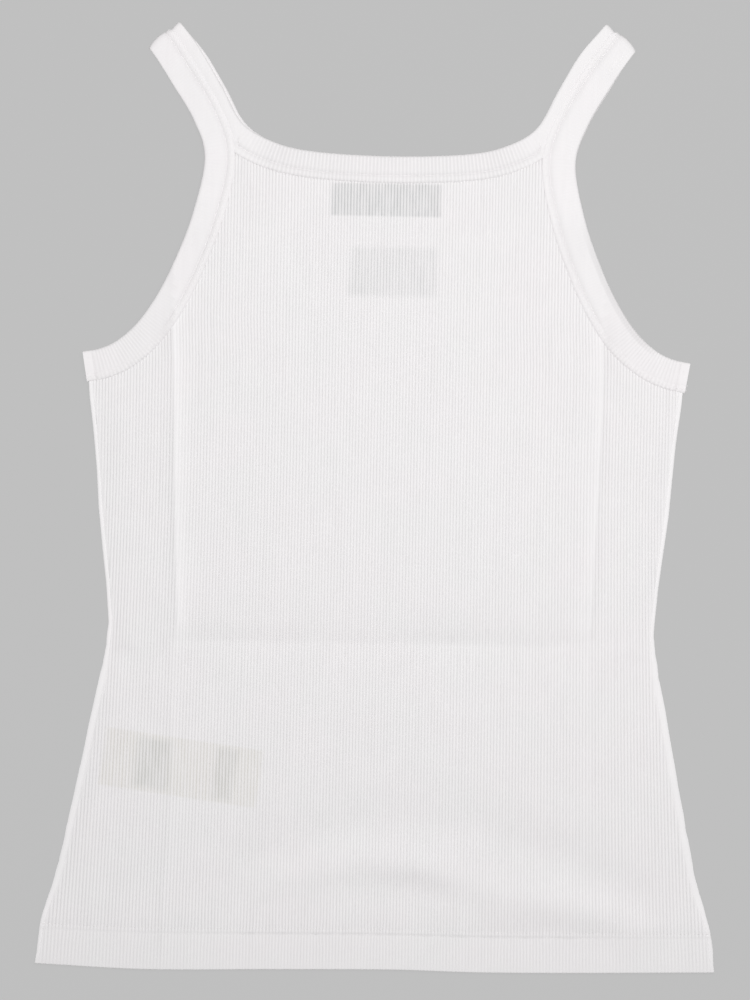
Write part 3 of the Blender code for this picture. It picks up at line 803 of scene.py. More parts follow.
def realized(tree, geometry, material, end):
    """Geometry Nodes: ends a tree with its instances realized and its material set."""
    real = add_node(tree, "GeometryNodeRealizeInstances", {"Geometry": geometry})
    done = add_node(tree, "GeometryNodeSetMaterial", {"Geometry": real.outputs[0], "Material": material})
    tree.links.new(done.outputs[0], end.inputs[0])


def ranged(tree, value, low, high, to_low=0.0, to_high=1.0):
    """A value taken smoothly from one range to another."""
    inputs = {"Value": value, "From Min": low, "From Max": high, "To Min": to_low, "To Max": to_high}
    return add_node(tree, "ShaderNodeMapRange", inputs, interpolation_type="SMOOTHSTEP").outputs["Result"]


def new_tree(name, kind, inputs, outputs):
    """A node group with named inputs and outputs, and its two end nodes."""
    tree = bpy.data.node_groups.new(name, kind)
    for label, socket, default in inputs:
        made = tree.interface.new_socket(label, in_out="INPUT", socket_type=socket)
        if default is not None:
            made.default_value = default
    for label, socket in outputs:
        tree.interface.new_socket(label, in_out="OUTPUT", socket_type=socket)
    return tree, tree.nodes.new("NodeGroupInput"), tree.nodes.new("NodeGroupOutput")


def rib_tree():
    """Geometry Nodes: lifts and sinks a sheet's points along its normals into ribs."""
    if "Ribs" in bpy.data.node_groups:
        return bpy.data.node_groups["Ribs"]
    tree, start, end = new_tree("Ribs", "GeometryNodeTree", [
        ("Geometry", "NodeSocketGeometry", None),
        ("Relief", "NodeSocketFloat", 0.19 * MM),
        ("Roundness", "NodeSocketFloat", 2.2),
        ("Unevenness", "NodeSocketFloat", 0.9),
        ("Cloth", "NodeSocketMaterial", None),
    ], [("Geometry", "NodeSocketGeometry")])
    rib, _, depth = parts_of(tree, point_vector(tree, KNIT))
    swing = maths(tree, "SINE", maths(tree, "MULTIPLY", rib, math.pi))
    groove = maths(tree, "POWER", maths(tree, "ABSOLUTE", swing), start.outputs["Roundness"])
    profile = maths(tree, "MULTIPLY_ADD", groove, -2.0, 1.0)
    place = add_node(tree, "GeometryNodeInputPosition")
    stretched = vector_maths(tree, "MULTIPLY", place.outputs[0], (380.0, 70.0, 0.0))
    swell = maths(tree, "SUBTRACT", noise(tree, stretched, 1.0, 1.0), 0.5)
    swell = maths(tree, "MULTIPLY_ADD", swell, start.outputs["Unevenness"], 1.0)
    height = maths(tree, "MULTIPLY", profile, start.outputs["Relief"])
    height = maths(tree, "MULTIPLY", maths(tree, "MULTIPLY", height, depth), swell)
    normal = add_node(tree, "GeometryNodeInputNormal")
    ribbed = add_node(tree, "GeometryNodeSetPosition", {
        "Geometry": start.outputs["Geometry"],
        "Offset": vector_maths(tree, "SCALE", normal.outputs[0], height)})
    realized(tree, ribbed.outputs[0], start.outputs["Cloth"], end)
    return tree


def stitch_tree():
    """Geometry Nodes: sets bowed stitches of thread along the edges of a row."""
    if "Stitches" in bpy.data.node_groups:
        return bpy.data.node_groups["Stitches"]
    tree, start, end = new_tree("Stitches", "GeometryNodeTree", [
        ("Geometry", "NodeSocketGeometry", None),
        ("Pitch", "NodeSocketFloat", 2.7 * MM),
        ("Length", "NodeSocketFloat", 2.2 * MM),
        ("Radius", "NodeSocketFloat", 0.15 * MM),
        ("Rise", "NodeSocketFloat", 0.30 * MM),
        ("Lean", "NodeSocketFloat", 0.16),
        ("Zigzag", "NodeSocketFloat", 0.0),
        ("Seed", "NodeSocketInt", 11),
        ("Thread", "NodeSocketMaterial", None),
    ], [("Geometry", "NodeSocketGeometry")])
    curve = add_node(tree, "GeometryNodeMeshToCurve", {"Mesh": start.outputs["Geometry"]})
    row = add_node(
        tree, "GeometryNodeResampleCurve",
        {"Curve": curve.outputs[0], "Length": start.outputs["Pitch"]}, mode="LENGTH")
    half = maths(tree, "MULTIPLY", start.outputs["Length"], 0.5)
    sink = maths(tree, "MULTIPLY", start.outputs["Rise"], -0.6)
    ends = []
    for side in (-1.0, 1.0):
        reach = maths(tree, "MULTIPLY", half, side)
        ends.append(add_node(tree, "ShaderNodeCombineXYZ", {0: reach, 2: sink}).outputs[0])
    top = add_node(tree, "ShaderNodeCombineXYZ", {2: start.outputs["Rise"]})
    bow = add_node(tree, "GeometryNodeCurveQuadraticBezier", {
        "Resolution": 4, "Start": ends[0], "Middle": top.outputs[0], "End": ends[1]})
    profile = add_node(
        tree, "GeometryNodeCurvePrimitiveCircle", {"Resolution": 5, "Radius": start.outputs["Radius"]})
    thread = add_node(tree, "GeometryNodeCurveToMesh", {
        "Curve": bow.outputs[0], "Profile Curve": profile.outputs[0], "Fill Caps": True})
    tangent = add_node(tree, "GeometryNodeInputTangent")
    upright = add_node(
        tree, "FunctionNodeAlignRotationToVector", {"Vector": point_vector(tree, FACING)}, axis="Z")
    aligned = add_node(
        tree, "FunctionNodeAlignRotationToVector",
        {"Rotation": upright.outputs[0], "Vector": tangent.outputs[0]}, axis="X", pivot_axis="Z")
    lean = add_node(tree, "FunctionNodeRandomValue", {"Seed": start.outputs["Seed"]}, data_type="FLOAT")
    tree.links.new(maths(tree, "MULTIPLY", start.outputs["Lean"], -1.0), lean.inputs[2])
    tree.links.new(start.outputs["Lean"], lean.inputs[3])
    count = add_node(tree, "GeometryNodeInputIndex")
    odd = maths(tree, "MODULO", count.outputs[0], 2.0)
    swap = maths(tree, "MULTIPLY", maths(tree, "MULTIPLY_ADD", odd, 2.0, -1.0), start.outputs["Zigzag"])
    turn = add_node(tree, "ShaderNodeCombineXYZ", {2: maths(tree, "ADD", lean.outputs[1], swap)})
    turned = add_node(tree, "FunctionNodeEulerToRotation", {0: turn.outputs[0]})
    leaning = add_node(
        tree, "FunctionNodeRotateRotation",
        {0: aligned.outputs[0], 1: turned.outputs[0]}, rotation_space="LOCAL")
    placed = add_node(tree, "GeometryNodeInstanceOnPoints", {
        "Points": row.outputs[0], "Instance": thread.outputs[0], "Rotation": leaning.outputs[0]})
    realized(tree, placed.outputs[0], start.outputs["Thread"], end)
    return tree


def shader_group(name, inputs, outputs, build):
    """A shader node group, made once; build fills it and returns its outputs."""
    if name not in bpy.data.node_groups:
        tree, start, end = new_tree(name, "ShaderNodeTree", inputs, outputs)
        for index, socket in enumerate(build(tree, start)):
            tree.links.new(socket, end.inputs[index])
    return bpy.data.node_groups[name]


def knit_relief():
    """Knit loops: chevrons up each rib, and how deep a place lies between two ribs."""
    def build(tree, start):
        swing = maths(tree, "SINE", maths(tree, "MULTIPLY", start.outputs["Rib"], math.pi))
        between = maths(tree, "POWER", maths(tree, "ABSOLUTE", swing), 2.0)
        valley = maths(tree, "MULTIPLY", between, start.outputs["Depth"])
        side = maths(tree, "ABSOLUTE", swing)
        course = maths(tree, "MULTIPLY_ADD", side, start.outputs["Chevron"], start.outputs["Course"])
        loop = maths(tree, "SINE", maths(tree, "MULTIPLY", course, 2 * math.pi))
        loop = maths(tree, "MULTIPLY_ADD", loop, 0.5, 0.5)
        crest = maths(tree, "SUBTRACT", 1.0, maths(tree, "MULTIPLY", between, 0.55))
        return valley, maths(tree, "MULTIPLY", loop, crest)

    return shader_group("Knit loops", [
        ("Rib", "NodeSocketFloat", 0.0),
        ("Course", "NodeSocketFloat", 0.0),
        ("Depth", "NodeSocketFloat", 1.0),
        ("Chevron", "NodeSocketFloat", 0.45),
    ], [("Valley", "NodeSocketFloat"), ("Height", "NodeSocketFloat")], build)


def cotton_fuzz():
    """The fine nap of cotton: a height and a roughness that change over the surface."""
    def build(tree, start):
        fine = noise(tree, start.outputs["Place"], start.outputs["Scale"], 3.0)
        soft = noise(tree, start.outputs["Place"], 55.0, 2.0)
        rough = maths(tree, "MULTIPLY_ADD", soft, 0.14, start.outputs["Roughness"])
        return fine, maths(tree, "SUBTRACT", rough, 0.07)

    return shader_group("Cotton fuzz", [
        ("Place", "NodeSocketVector", None),
        ("Scale", "NodeSocketFloat", 2400.0),
        ("Roughness", "NodeSocketFloat", 0.88),
    ], [("Height", "NodeSocketFloat"), ("Roughness", "NodeSocketFloat")], build)


def cotton_tone():
    """Slight warm and cool patches, faint uneven yarn, a painted shade between the ribs, and painted light
    and shade scaled in from the mesh.
    """
    def build(tree, start):
        place = start.outputs["Place"]
        warm = ranged(tree, noise(tree, place, 26.0, 2.0), 0.35, 0.65)
        warm = maths(tree, "MULTIPLY", warm, start.outputs["Patches"])
        toned = mixed(tree, warm, start.outputs["Colour"], start.outputs["Warm"])
        streak = vector_maths(tree, "MULTIPLY", place, (420.0, 16.0, 16.0))
        yarn = noise(tree, streak, 1.0, 1.0)
        shade_and_yarn = maths(tree, "MULTIPLY", start.outputs["Valley"], start.outputs["Valley shade"])
        cloudy = maths(tree, "MULTIPLY", maths(tree, "SUBTRACT", noise(tree, place, 70.0, 2.0), 0.5), 0.035)
        uneven_yarn = maths(tree, "MULTIPLY", maths(tree, "SUBTRACT", yarn, 0.5), 0.035)
        uneven_yarn = maths(tree, "ADD", uneven_yarn, maths(tree, "ADD", cloudy, 0.02))
        shade_and_yarn = maths(tree, "ADD", shade_and_yarn, uneven_yarn, clamp=True)
        # Painted light, or painted shade below 0, scales the colour.
        painted_light = maths(tree, "ADD", start.outputs["Painted light"], 1.0)
        light = maths(tree, "MULTIPLY", maths(tree, "SUBTRACT", 1.0, shade_and_yarn), painted_light)
        return (vector_maths(tree, "SCALE", toned, light),)

    return shader_group("Cotton tone", [
        ("Colour", "NodeSocketColor", (0.85, 0.85, 0.85, 1.0)),
        ("Warm", "NodeSocketColor", (0.86, 0.85, 0.82, 1.0)),
        ("Patches", "NodeSocketFloat", 0.4),
        ("Valley", "NodeSocketFloat", 0.0),
        ("Valley shade", "NodeSocketFloat", 0.05),
        ("Painted light", "NodeSocketFloat", 0.0),
        ("Place", "NodeSocketVector", None),
    ], [("Colour", "NodeSocketColor")], build)


def show_through():
    """A soft-edged rectangle, where something dark under the cloth shows through it."""
    def build(tree, start):
        moved = vector_maths(tree, "SUBTRACT", start.outputs["Place"], start.outputs["Centre"])
        turned = add_node(tree, "ShaderNodeVectorRotate", {
            "Vector": moved, "Angle": maths(tree, "MULTIPLY", start.outputs["Turn"], -1.0)},
            rotation_type="Z_AXIS")
        place = parts_of(tree, turned.outputs[0])
        size = parts_of(tree, start.outputs["Half size"])
        soft = parts_of(tree, start.outputs["Softness"])
        sides = []
        for axis in (0, 1):
            inside = maths(tree, "SUBTRACT", size[axis], maths(tree, "ABSOLUTE", place[axis]))
            sides.append(maths(tree, "DIVIDE", inside, soft[axis], clamp=True))
        streak = vector_maths(tree, "MULTIPLY", start.outputs["Place"], (330.0, 45.0, 0.0))
        patchy = ranged(tree, noise(tree, streak, 1.0, 2.0), 0.3, 0.7, 0.7, 1.3)
        return (maths(tree, "MULTIPLY", maths(tree, "MULTIPLY", *sides), patchy),)

    return shader_group("Show-through", [
        ("Place", "NodeSocketVector", None),
        ("Centre", "NodeSocketVector", None),
        ("Half size", "NodeSocketVector", None),
        ("Turn", "NodeSocketFloat", 0.0),
        ("Softness", "NodeSocketVector", None),
    ], [("Mask", "NodeSocketFloat")], build)


def place_group(tree, group, inputs):
    """A shader node group placed in a material."""
    node = tree.nodes.new("ShaderNodeGroup")
    node.node_tree = group
    for name, value in inputs.items():
        if isinstance(value, bpy.types.NodeSocket):
            tree.links.new(value, node.inputs[name])
        else:
            node.inputs[name].default_value = value
    return node


# --- Materials ---------------------------------------------------------------------------------

# What shows through the front: centre, half size, turn, strength, and the softness of its edge, in
# millimetres and degrees. The care label has two darker blocks.
SHADOWS = [
    {"of": "neck_label", "x": -2.2, "y": 503.0, "half_x": 37.4, "half_y": 11.4, "turn": 0.0,
     "soft_x": 3.2, "soft_y": 1.5, "strength": 0.345},
    {"of": "size_label", "x": 3.3, "y": 456.0, "half_x": 30.8, "half_y": 18.0, "turn": 0.0,
     "soft_x": 4.5, "soft_y": 4.0, "strength": 0.17},
    {"of": "size_corner_left", "x": -20.5, "y": 444.0, "half_x": 8.5, "half_y": 6.5, "turn": 0.0,
     "soft_x": 5.0, "soft_y": 5.0, "strength": 0.07},
    {"of": "size_corner_right", "x": 24.0, "y": 450.0, "half_x": 9.5, "half_y": 12.0, "turn": 0.0,
     "soft_x": 6.0, "soft_y": 7.0, "strength": 0.045},
    {"of": "care_label", "x": -129.5, "y": 128.6, "half_x": 53.5, "half_y": 19.8, "turn": -7.6,
     "soft_x": 3.0, "soft_y": 1.6, "strength": 0.24},
    {"of": "care_block", "x": -148.0, "y": 131.0, "half_x": 14.5, "half_y": 18.0, "turn": -7.6,
     "soft_x": 6.5, "soft_y": 4.0, "strength": 0.225},
    {"of": "care_block_right", "x": -101.0, "y": 124.6, "half_x": 9.0, "half_y": 18.5, "turn": -7.6,
     "soft_x": 4.0, "soft_y": 3.5, "strength": 0.205},
]
SHADOW_TINTS = {
    "neck_label": (0.30, 0.32, 0.32, 1.0),
    "size_label": (0.36, 0.38, 0.38, 1.0),
    "size_corner_left": (0.36, 0.38, 0.38, 1.0),
    "size_corner_right": (0.36, 0.38, 0.38, 1.0),
    "care_label": (0.60, 0.57, 0.47, 1.0),
    "care_block": (0.34, 0.37, 0.37, 1.0),
    "care_block_right": (0.34, 0.36, 0.35, 1.0),
}


def new_material(name):
    material = bpy.data.materials.new(name)
    material.use_nodes = True
    shader = material.node_tree.nodes["Principled BSDF"]
    return material, material.node_tree, shader


def object_place(tree):
    return add_node(tree, "ShaderNodeTexCoord").outputs["Object"]


def bump(tree, height, distance, strength):
    return add_node(
        tree, "ShaderNodeBump", {"Height": height, "Distance": distance, "Strength": strength}).outputs[0]


def rgba(colour):
    return (*colour, 1.0)


def finish_cloth(tree, shader, colour, height, depth, strength, roughness):
    """Links a cloth's changing colour, relief and roughness to its shader."""
    tree.links.new(colour, shader.inputs["Base Color"])
    tree.links.new(bump(tree, height, depth, strength), shader.inputs["Normal"])
    tree.links.new(roughness, shader.inputs["Roughness"])


def knit_material(name, colour, valley_shade, loops, shadows=()):
    """White cotton rib: toned colour, painted shade in the valleys, painted light and shade from the mesh,
    knit loops and nap.
    """
    material, tree, shader = new_material(name)
    place = object_place(tree)
    knit = add_node(tree, "ShaderNodeAttribute", attribute_name=KNIT, attribute_type="GEOMETRY")
    parts = parts_of(tree, knit.outputs["Vector"])
    relief = place_group(tree, knit_relief(), dict(zip(("Rib", "Course", "Depth"), parts)))
    painted_light = add_node(tree, "ShaderNodeAttribute", attribute_name=PAINTED_LIGHT, attribute_type="GEOMETRY")
    tone = place_group(tree, cotton_tone(), {
        "Painted light": painted_light.outputs["Fac"],
        "Colour": rgba(colour), "Warm": (colour[0] * 0.985, colour[1] * 1.002, colour[2] * 0.994, 1.0),
        "Valley": relief.outputs["Valley"], "Valley shade": valley_shade, "Place": place})
    shown = tone.outputs["Colour"]
    for shadow in shadows:
        mask = place_group(tree, show_through(), {
            "Place": place,
            "Centre": (shadow["x"] * MM, shadow["y"] * MM - CENTRE_HEIGHT, 0.0),
            "Half size": (shadow["half_x"] * MM, shadow["half_y"] * MM, 0.0),
            "Turn": math.radians(shadow["turn"]),
            "Softness": (shadow["soft_x"] * MM, shadow["soft_y"] * MM, 1.0),
        }).outputs["Mask"]
        # The ribs' tops stay white: only the thin cloth between them lets the label show.
        thin = ranged(tree, relief.outputs["Valley"], 0.05, 0.95, 0.42, 1.0)
        amount = maths(tree, "MULTIPLY", maths(tree, "MULTIPLY", mask, thin), shadow["strength"])
        shown = mixed(tree, amount, shown, SHADOW_TINTS[shadow["of"]])
    fuzz = place_group(tree, cotton_fuzz(), {"Place": place, "Scale": 2400.0, "Roughness": 0.88})
    height = maths(tree, "MULTIPLY_ADD", relief.outputs["Height"], loops, fuzz.outputs["Height"])
    finish_cloth(tree, shader, shown, height, 0.05 * MM, 0.6, fuzz.outputs["Roughness"])
    shader.inputs["Sheen Weight"].default_value = 0.12
    shader.inputs["Sheen Roughness"].default_value = 0.6
    shader.inputs["Specular IOR Level"].default_value = 0.25
    return material


def thread_material():
    """Spun cotton thread, twisted along its length."""
    material, tree, shader = new_material("cotton_thread")
    thread = bpy.context.scene.tank_top_thread
    place = object_place(tree)
    tone = place_group(tree, cotton_tone(), {
        "Colour": rgba(thread.colour), "Warm": (0.84, 0.822, 0.815, 1.0), "Valley": 0.0, "Place": place})
    fuzz = place_group(tree, cotton_fuzz(), {"Place": place, "Scale": 5200.0, "Roughness": 0.72})
    twist = add_node(tree, "ShaderNodeTexWave", {
        "Vector": place, "Scale": 900.0, "Distortion": 1.5}, wave_type="BANDS", bands_direction="DIAGONAL")
    height = maths(tree, "ADD", twist.outputs[1], maths(tree, "MULTIPLY", fuzz.outputs["Height"], 0.5))
    finish_cloth(tree, shader, tone.outputs["Colour"], height, 0.04 * MM, 0.6, fuzz.outputs["Roughness"])
    shader.inputs["Sheen Weight"].default_value = 0.2
    shader.inputs["Specular IOR Level"].default_value = 0.35
    return material


def woven_tape():
    """A close plain weave: its height, and which of its two yarns is on top."""
    def build(tree, start):
        parts = parts_of(tree, start.outputs["Place"])
        turns = []
        for axis in (0, 1):
            count = maths(tree, "DIVIDE", parts[axis], start.outputs["Yarn"])
            turns.append(maths(tree, "SINE", maths(tree, "MULTIPLY", count, math.pi)))
        crossing = maths(tree, "MULTIPLY", *turns)
        height = maths(tree, "ABSOLUTE", crossing)
        return height, ranged(tree, crossing, -0.2, 0.2)

    return shader_group("Woven tape", [
        ("Place", "NodeSocketVector", None),
        ("Yarn", "NodeSocketFloat", 0.35 * MM),
    ], [("Height", "NodeSocketFloat"), ("Warp", "NodeSocketFloat")], build)


def label_material(name, colour, second, yarn):
    """A bare woven label."""
    material, tree, shader = new_material(name)
    place = object_place(tree)
    weave = place_group(tree, woven_tape(), {"Place": place, "Yarn": yarn})
    yarns = mixed(tree, weave.outputs["Warp"], rgba(colour), rgba(second))
    tone = place_group(tree, cotton_tone(), {
        "Colour": yarns, "Warm": rgba(second), "Patches": 0.2, "Valley": 0.0, "Place": place})
    fuzz = place_group(tree, cotton_fuzz(), {"Place": place, "Scale": 3600.0, "Roughness": 0.62})
    height = maths(tree, "MULTIPLY_ADD", fuzz.outputs["Height"], 0.3, weave.outputs["Height"])
    finish_cloth(tree, shader, tone.outputs["Colour"], height, 0.06 * MM, 0.7, fuzz.outputs["Roughness"])
    shader.inputs["Sheen Weight"].default_value = 0.1
    shader.inputs["Specular IOR Level"].default_value = 0.4
    return material


# --- Pieces ------------------------------------------------------------------------------------

def rib_positions(reach, pitch):
    """Places of the ribs' points across a piece, out to this reach on both sides."""
    count = math.ceil(reach / pitch)
    steps = [index + step for index in range(-count, count) for step in RIB_STEPS]
    return np.array([*steps, count]) * pitch


def hem_rows(levels):
    """Heights round the hem's turn, from its raw edge inside to the fold's outer end, each with its z."""
    outer, turn = levels["hem"], levels["turn"]
    radius = abs(outer - turn) / 2
    side = 1.0 if outer > turn else -1.0
    rows = [(HEM_INSIDE * share, turn) for share in (1.0, 0.66, 0.33)]
    for step in range(FOLD_STEPS + 1):
        angle = math.pi * step / FOLD_STEPS
        y = radius + WALL / 2 - radius * math.sin(angle)
        rows.append((y, (outer + turn) / 2 - side * radius * math.cos(angle)))
    return rows


def panel_rows(levels):
    """Heights of all the rows of a panel, each with its z, which the folds decide above the hem's turn."""
    rows = hem_rows(levels)
    low = 8.0 * MM
    rows.append((low, math.nan))
    for top, count in PANEL_ROWS:
        step = (top * MM - low) / count
        rows += [(low + step * (index + 1), math.nan) for index in range(count)]
        low = top * MM
    return np.array(rows).T[..., None]


def between_strips(strip, middle):
    """Values across a panel: those of the side seams' strips on both sides, and those of the ribs."""
    return np.concatenate([strip, middle, strip[::-1]])[None, :]


def sewn_in(x, nominal):
    """How far the hem's stitch rows pull the cloth in; the second shows more towards the sides."""
    fading = 1.0 - 0.7 * rises(np.abs(x), 100, 80)
    depths = (GROOVE["hem"] * fading, GROOVE["second_hem"] * (1.0 + 0.8 * (1.0 - fading)))
    grooves = sum(sunk * ridge(nominal - row, GROOVE_HALF) for row, sunk in zip(HEM_ROWS, depths))
    return grooves * (0.7 + 0.3 * uneven(x, 7.0 * MM))


def panel_depth(x, y, nominal, strip, folds):
    """Share of their depth that the ribs have: less by the side strips, in the hem and on pressed creases."""
    depth = smoothstep((panel_half_width(nominal) - np.abs(x) - strip) / RIBS_FADE)
    depth = np.where(nominal > UNDERARM_HEIGHT, 1.0, depth)
    depth = depth * (1.0 - 0.45 * ridge(nominal - HEM_ROWS[0], 1.3 * MM))
    depth = depth * (1.0 - 0.28 * falls(nominal, 18, 8)) * (0.35 + 0.65 * rises(nominal, 1.2, 3))
    return depth * rib_opening(x, y, folds)


def hem_tone(x, nominal, outer):
    """Painted shade along the hem's stitch row, most of all right of the middle, and the hem's double cloth
    painted a little darker.
    """
    from_row = nominal - HEM_ROWS[0] - 0.4 * MM
    tight = 0.3 + 0.7 * rises(x, -100, 20) * falls(x, 120, 30)
    # Painted shade along the stitch row.
    thread = HEM_ROW_SHADE * tight * (0.8 + 0.5 * uneven(x + 0.02, 23.0 * MM)) * ridge(from_row, 0.8 * MM)
    return outer * thread - 0.03 * ridge(from_row, 1.3 * MM) + HEM_BAND_TONE * falls(nominal, 20.5, 2)


def panel_grid(levels, height, turned):
    """Points, knit coordinates and painted light and shade of a body panel."""
    cloth = bpy.context.scene.tank_top_cloth
    folds = BACK_FOLDS if turned else FRONT_FOLDS
    nominal, given = panel_rows(levels)
    outer = np.isnan(given)
    ribs = rib_positions(float(SIDE_LINE[:, 1].max()), cloth.rib_pitch)
    inset, drop = np.array(SEAM_STRIP).T * MM
    ones = np.ones(len(inset))
    across = np.concatenate([-ones, ribs, ones])[None, :]
    is_rib = between_strips(0.0 * ones, np.ones(len(ribs))) > 0.5
    narrow = SEAM_NARROW + (1.0 - SEAM_NARROW) * falls(nominal, 185, 30) * rises(nominal, 20, 40)
    edge_inset = between_strips(inset, np.full(len(ribs), inset[-1] + 0.6 * MM)) * narrow
    y = np.broadcast_to(nominal, (len(nominal), across.shape[1])).copy()
    for _ in range(3):
        limit = panel_half_width(y) - edge_inset
        x = np.where(is_rib, np.clip(rib_to_x(across, nominal), -limit, limit), np.sign(across) * limit)
        rise = smoothstep((nominal - NECK_CURVE_FROM) / (STRAP_BASE_HEIGHT - NECK_CURVE_FROM))
        y = nominal + rise * (panel_top(x) - STRAP_BASE_HEIGHT)
    rib = x_to_rib(x, y) / cloth.rib_pitch

    wave = uneven(y + 0.3 * np.sign(x), 31.0 * MM) * SEAM_WAVE
    x = x + np.sign(x) * np.where(edge_inset < 2.0 * MM, wave, 0.0) * (y < UNDERARM_HEIGHT)
    pulled = 0.55 * MM * uneven(x + 0.07, 47.0 * MM) * ridge(nominal - HEM_ROWS[0], 5.0 * MM)
    x = x + is_rib * pulled * rises(limit - abs(x), 0, 20)
    z = np.where(outer, height(x, y), given)
    if not turned:
        seam = 1.0 - smoothstep((nominal - UNDERARM_HEIGHT + 12 * MM) / (10 * MM))
        z = z - 0.55 * outer * seam * between_strips(drop, np.zeros(len(ribs)))
    z = z - (-1.0 if turned else 1.0) * outer * sewn_in(x, nominal)
    dx, dy = laid_offset(x, y, turned)
    course = (y + (z if turned else 0.0)) / cloth.course
    knit = np.stack([rib, course, panel_depth(x, y, nominal, inset[-1] * narrow, folds)], axis=-1)
    # Painted light and shade beside the folds, painted shade along the hem's stitch row, and a darker hem
    # band.
    painted_light = painted_fold_light(x, y, folds) + hem_tone(x, nominal, outer)
    return to_frame(x + dx, y + dy, z), knit, painted_light


def armhole_depth(place, length):
    """How deep the ribs of an armhole binding are, from the side seam up to the shoulder."""
    return SMOOTH_DEPTH + 0.62 * (1.0 - smoothstep((place / length - 0.10) / 0.18))


def neck_depth(place, length):
    """How deep the ribs of the neck binding are, from the centre to the shoulder."""
    return SMOOTH_DEPTH + 0.90 * (1.0 - smoothstep((place / length - 0.40) / 0.16))


NECK = {"line": NECK_LINE, "hand": 1, "bulge": SHOULDER_BULGE["neck"], "depth": neck_depth, "whole": False}
ARMHOLE = {
    "line": ARMHOLE_LINE, "hand": -1, "bulge": SHOULDER_BULGE["armhole"], "depth": armhole_depth,
    "whole": True,
}


def leaf_width(run, whole):
    """Width of a binding's leaf at each station: the neck's is cut narrower beside the armhole's."""
    if whole:
        return np.full(len(run["at"]), ARMHOLE_BINDING)
    return np.minimum(NECK_BINDING, room_beside(run, ARMHOLE_LEAF) + TUCK)


def edge_sections(run, width, side, turned, angle=None, covers=True):
    """Sections up one edge of the laid garment, or several turning over the shoulder at its end."""
    x, y = run["at"][:, 0] * side, run["at"][:, 1]
    dx, dy = laid_offset(x, y, turned)
    mirror = np.array([side, 1.0])
    if not turned:
        outward = np.clip(-run["into"][:, 0] * side, 0.0, 1.0)
        below_strap = rises(below_shoulder(x, y), 74, 18)
        over = -FRONT_COVERS * dx * outward * (1.0 if covers else below_strap)
        dx = dx + over
        width = width + over * outward
    thin = (STRAP_THINS["from"] - below_shoulder(x, y)) / (STRAP_THINS["from"] - STRAP_THINS["to"])
    found = {
        "at": np.stack([x + dx, y + dy], axis=-1),
        "along": run["along"] * mirror,
        "into": run["into"] * mirror,
        "width": width,
        "gap": PANEL_GAP + (STRAP_GAP - PANEL_GAP) * smoothstep(thin),
        "angle": np.full(len(x), math.pi if turned else 0.0),
        "place": run["place"],
        "below": below_shoulder(x, y),
    }
    if angle is not None:
        found = {key: np.repeat(value[-1:], len(angle), axis=0) for key, value in found.items()}
        found["angle"] = angle
    return found


def joined(*parts):
    return {key: np.concatenate([part[key] for part in parts]) for key in parts[0]}


def backwards(sections):
    return {key: value[::-1] for key, value in sections.items()}


def over_the_shoulder(binding, side, spacing):
    """Up the front of an edge, over the shoulder fold and down the back."""
    length = line_lengths(binding["line"])[-1]
    places = rib_positions(length, spacing)
    places = places[(places >= 0) & (places < length - 0.2 * spacing)]
    run = edge_run(binding["line"], binding["hand"], np.append(places, length))
    width = leaf_width(run, binding["whole"])
    front = edge_sections(run, width, side, False, covers=binding["whole"])
    turn = math.pi * np.arange(1, SHOULDER_STEPS) / SHOULDER_STEPS
    fold = edge_sections(run, width, side, False, turn)
    back = edge_sections(run, width, side, True)
    return joined(front, fold, backwards(back)), length


def row_share(binding, place):
    """Share of its depth that a binding's stitch row has at a place: less by a side seam."""
    if not binding["whole"]:
        return np.ones_like(place)
    low = SHALLOW_ROW["share"]
    return low + (1.0 - low) * rises(place, SHALLOW_ROW["until"], SHALLOW_ROW["over"])


def armhole_shading(inward, place, length, x, in_front):
    """An armhole binding's painted light and shade: its smooth upper part painted darker, painted shade along
    its end row, and a painted shadow beside the back's edge.
    """
    share = place / length
    smooth = smoothstep((share - 0.10) / 0.12) * (1.0 - smoothstep((share - 0.45) / 0.12))
    end = ridge(place - END_ROW, 0.6 * MM) * (inward > 1 * MM)
    edge = np.interp(inward / MM, BACK_EDGE_SHADOW["inward"], BACK_EDGE_SHADOW["shape"])
    edge = edge * np.interp(place / MM, BACK_EDGE_SHADOW["place"], (0.0, 1.0, 1.0, 0.0)) * (x > 0)
    return in_front * (SMOOTH_TONE * smooth + END_ROW_SHADE * end + BACK_EDGE_SHADOW["tone"] * edge)


def binding_columns(sections, grooved, tucked, dips):
    """Across a binding's section: distance in from the fold and lift from its middle."""
    width = sections["width"][:, None]
    radius = (sections["gap"][:, None] + WALL) / 2
    start = radius + WALL / 2
    row = width - ROW_FROM_EDGE
    middle = [start + (row - GROOVE_HALF - start) * share for share in (0.72, 0.38, 0.19, 0.12)]
    none = np.zeros_like(width)
    outer = [
        (width, (0.42 + 0.63 * dips) * MM),
        (width - 0.50 * MM, (0.12 + 0.33 * dips + 0.35 * tucked) * MM),
        (width - 1.20 * MM, (0.02 + 0.06 * dips + 0.45 * tucked) * MM),
        (row + GROOVE_HALF, none),
        (row, GROOVE["binding"] * grooved),
        (row - GROOVE_HALF, none),
        *((inward, none - 0.04 * MM) for inward in middle),
    ]
    columns = [(inward, radius - sunk) for inward, sunk in outer]
    for step in range(FOLD_STEPS + 1):
        angle = math.pi * step / FOLD_STEPS
        inward = radius * (1 - math.sin(angle) ** FOLD_SQUARED) + WALL / 2
        columns.append((inward, radius * math.cos(angle)))
    for share in (0.35, 0.7, 1.0):
        columns.append((start + (width - 1.2 * MM * tucked - start) * share, -radius))
    return [np.concatenate([column[part] for column in columns], axis=1) for part in (0, 1)]


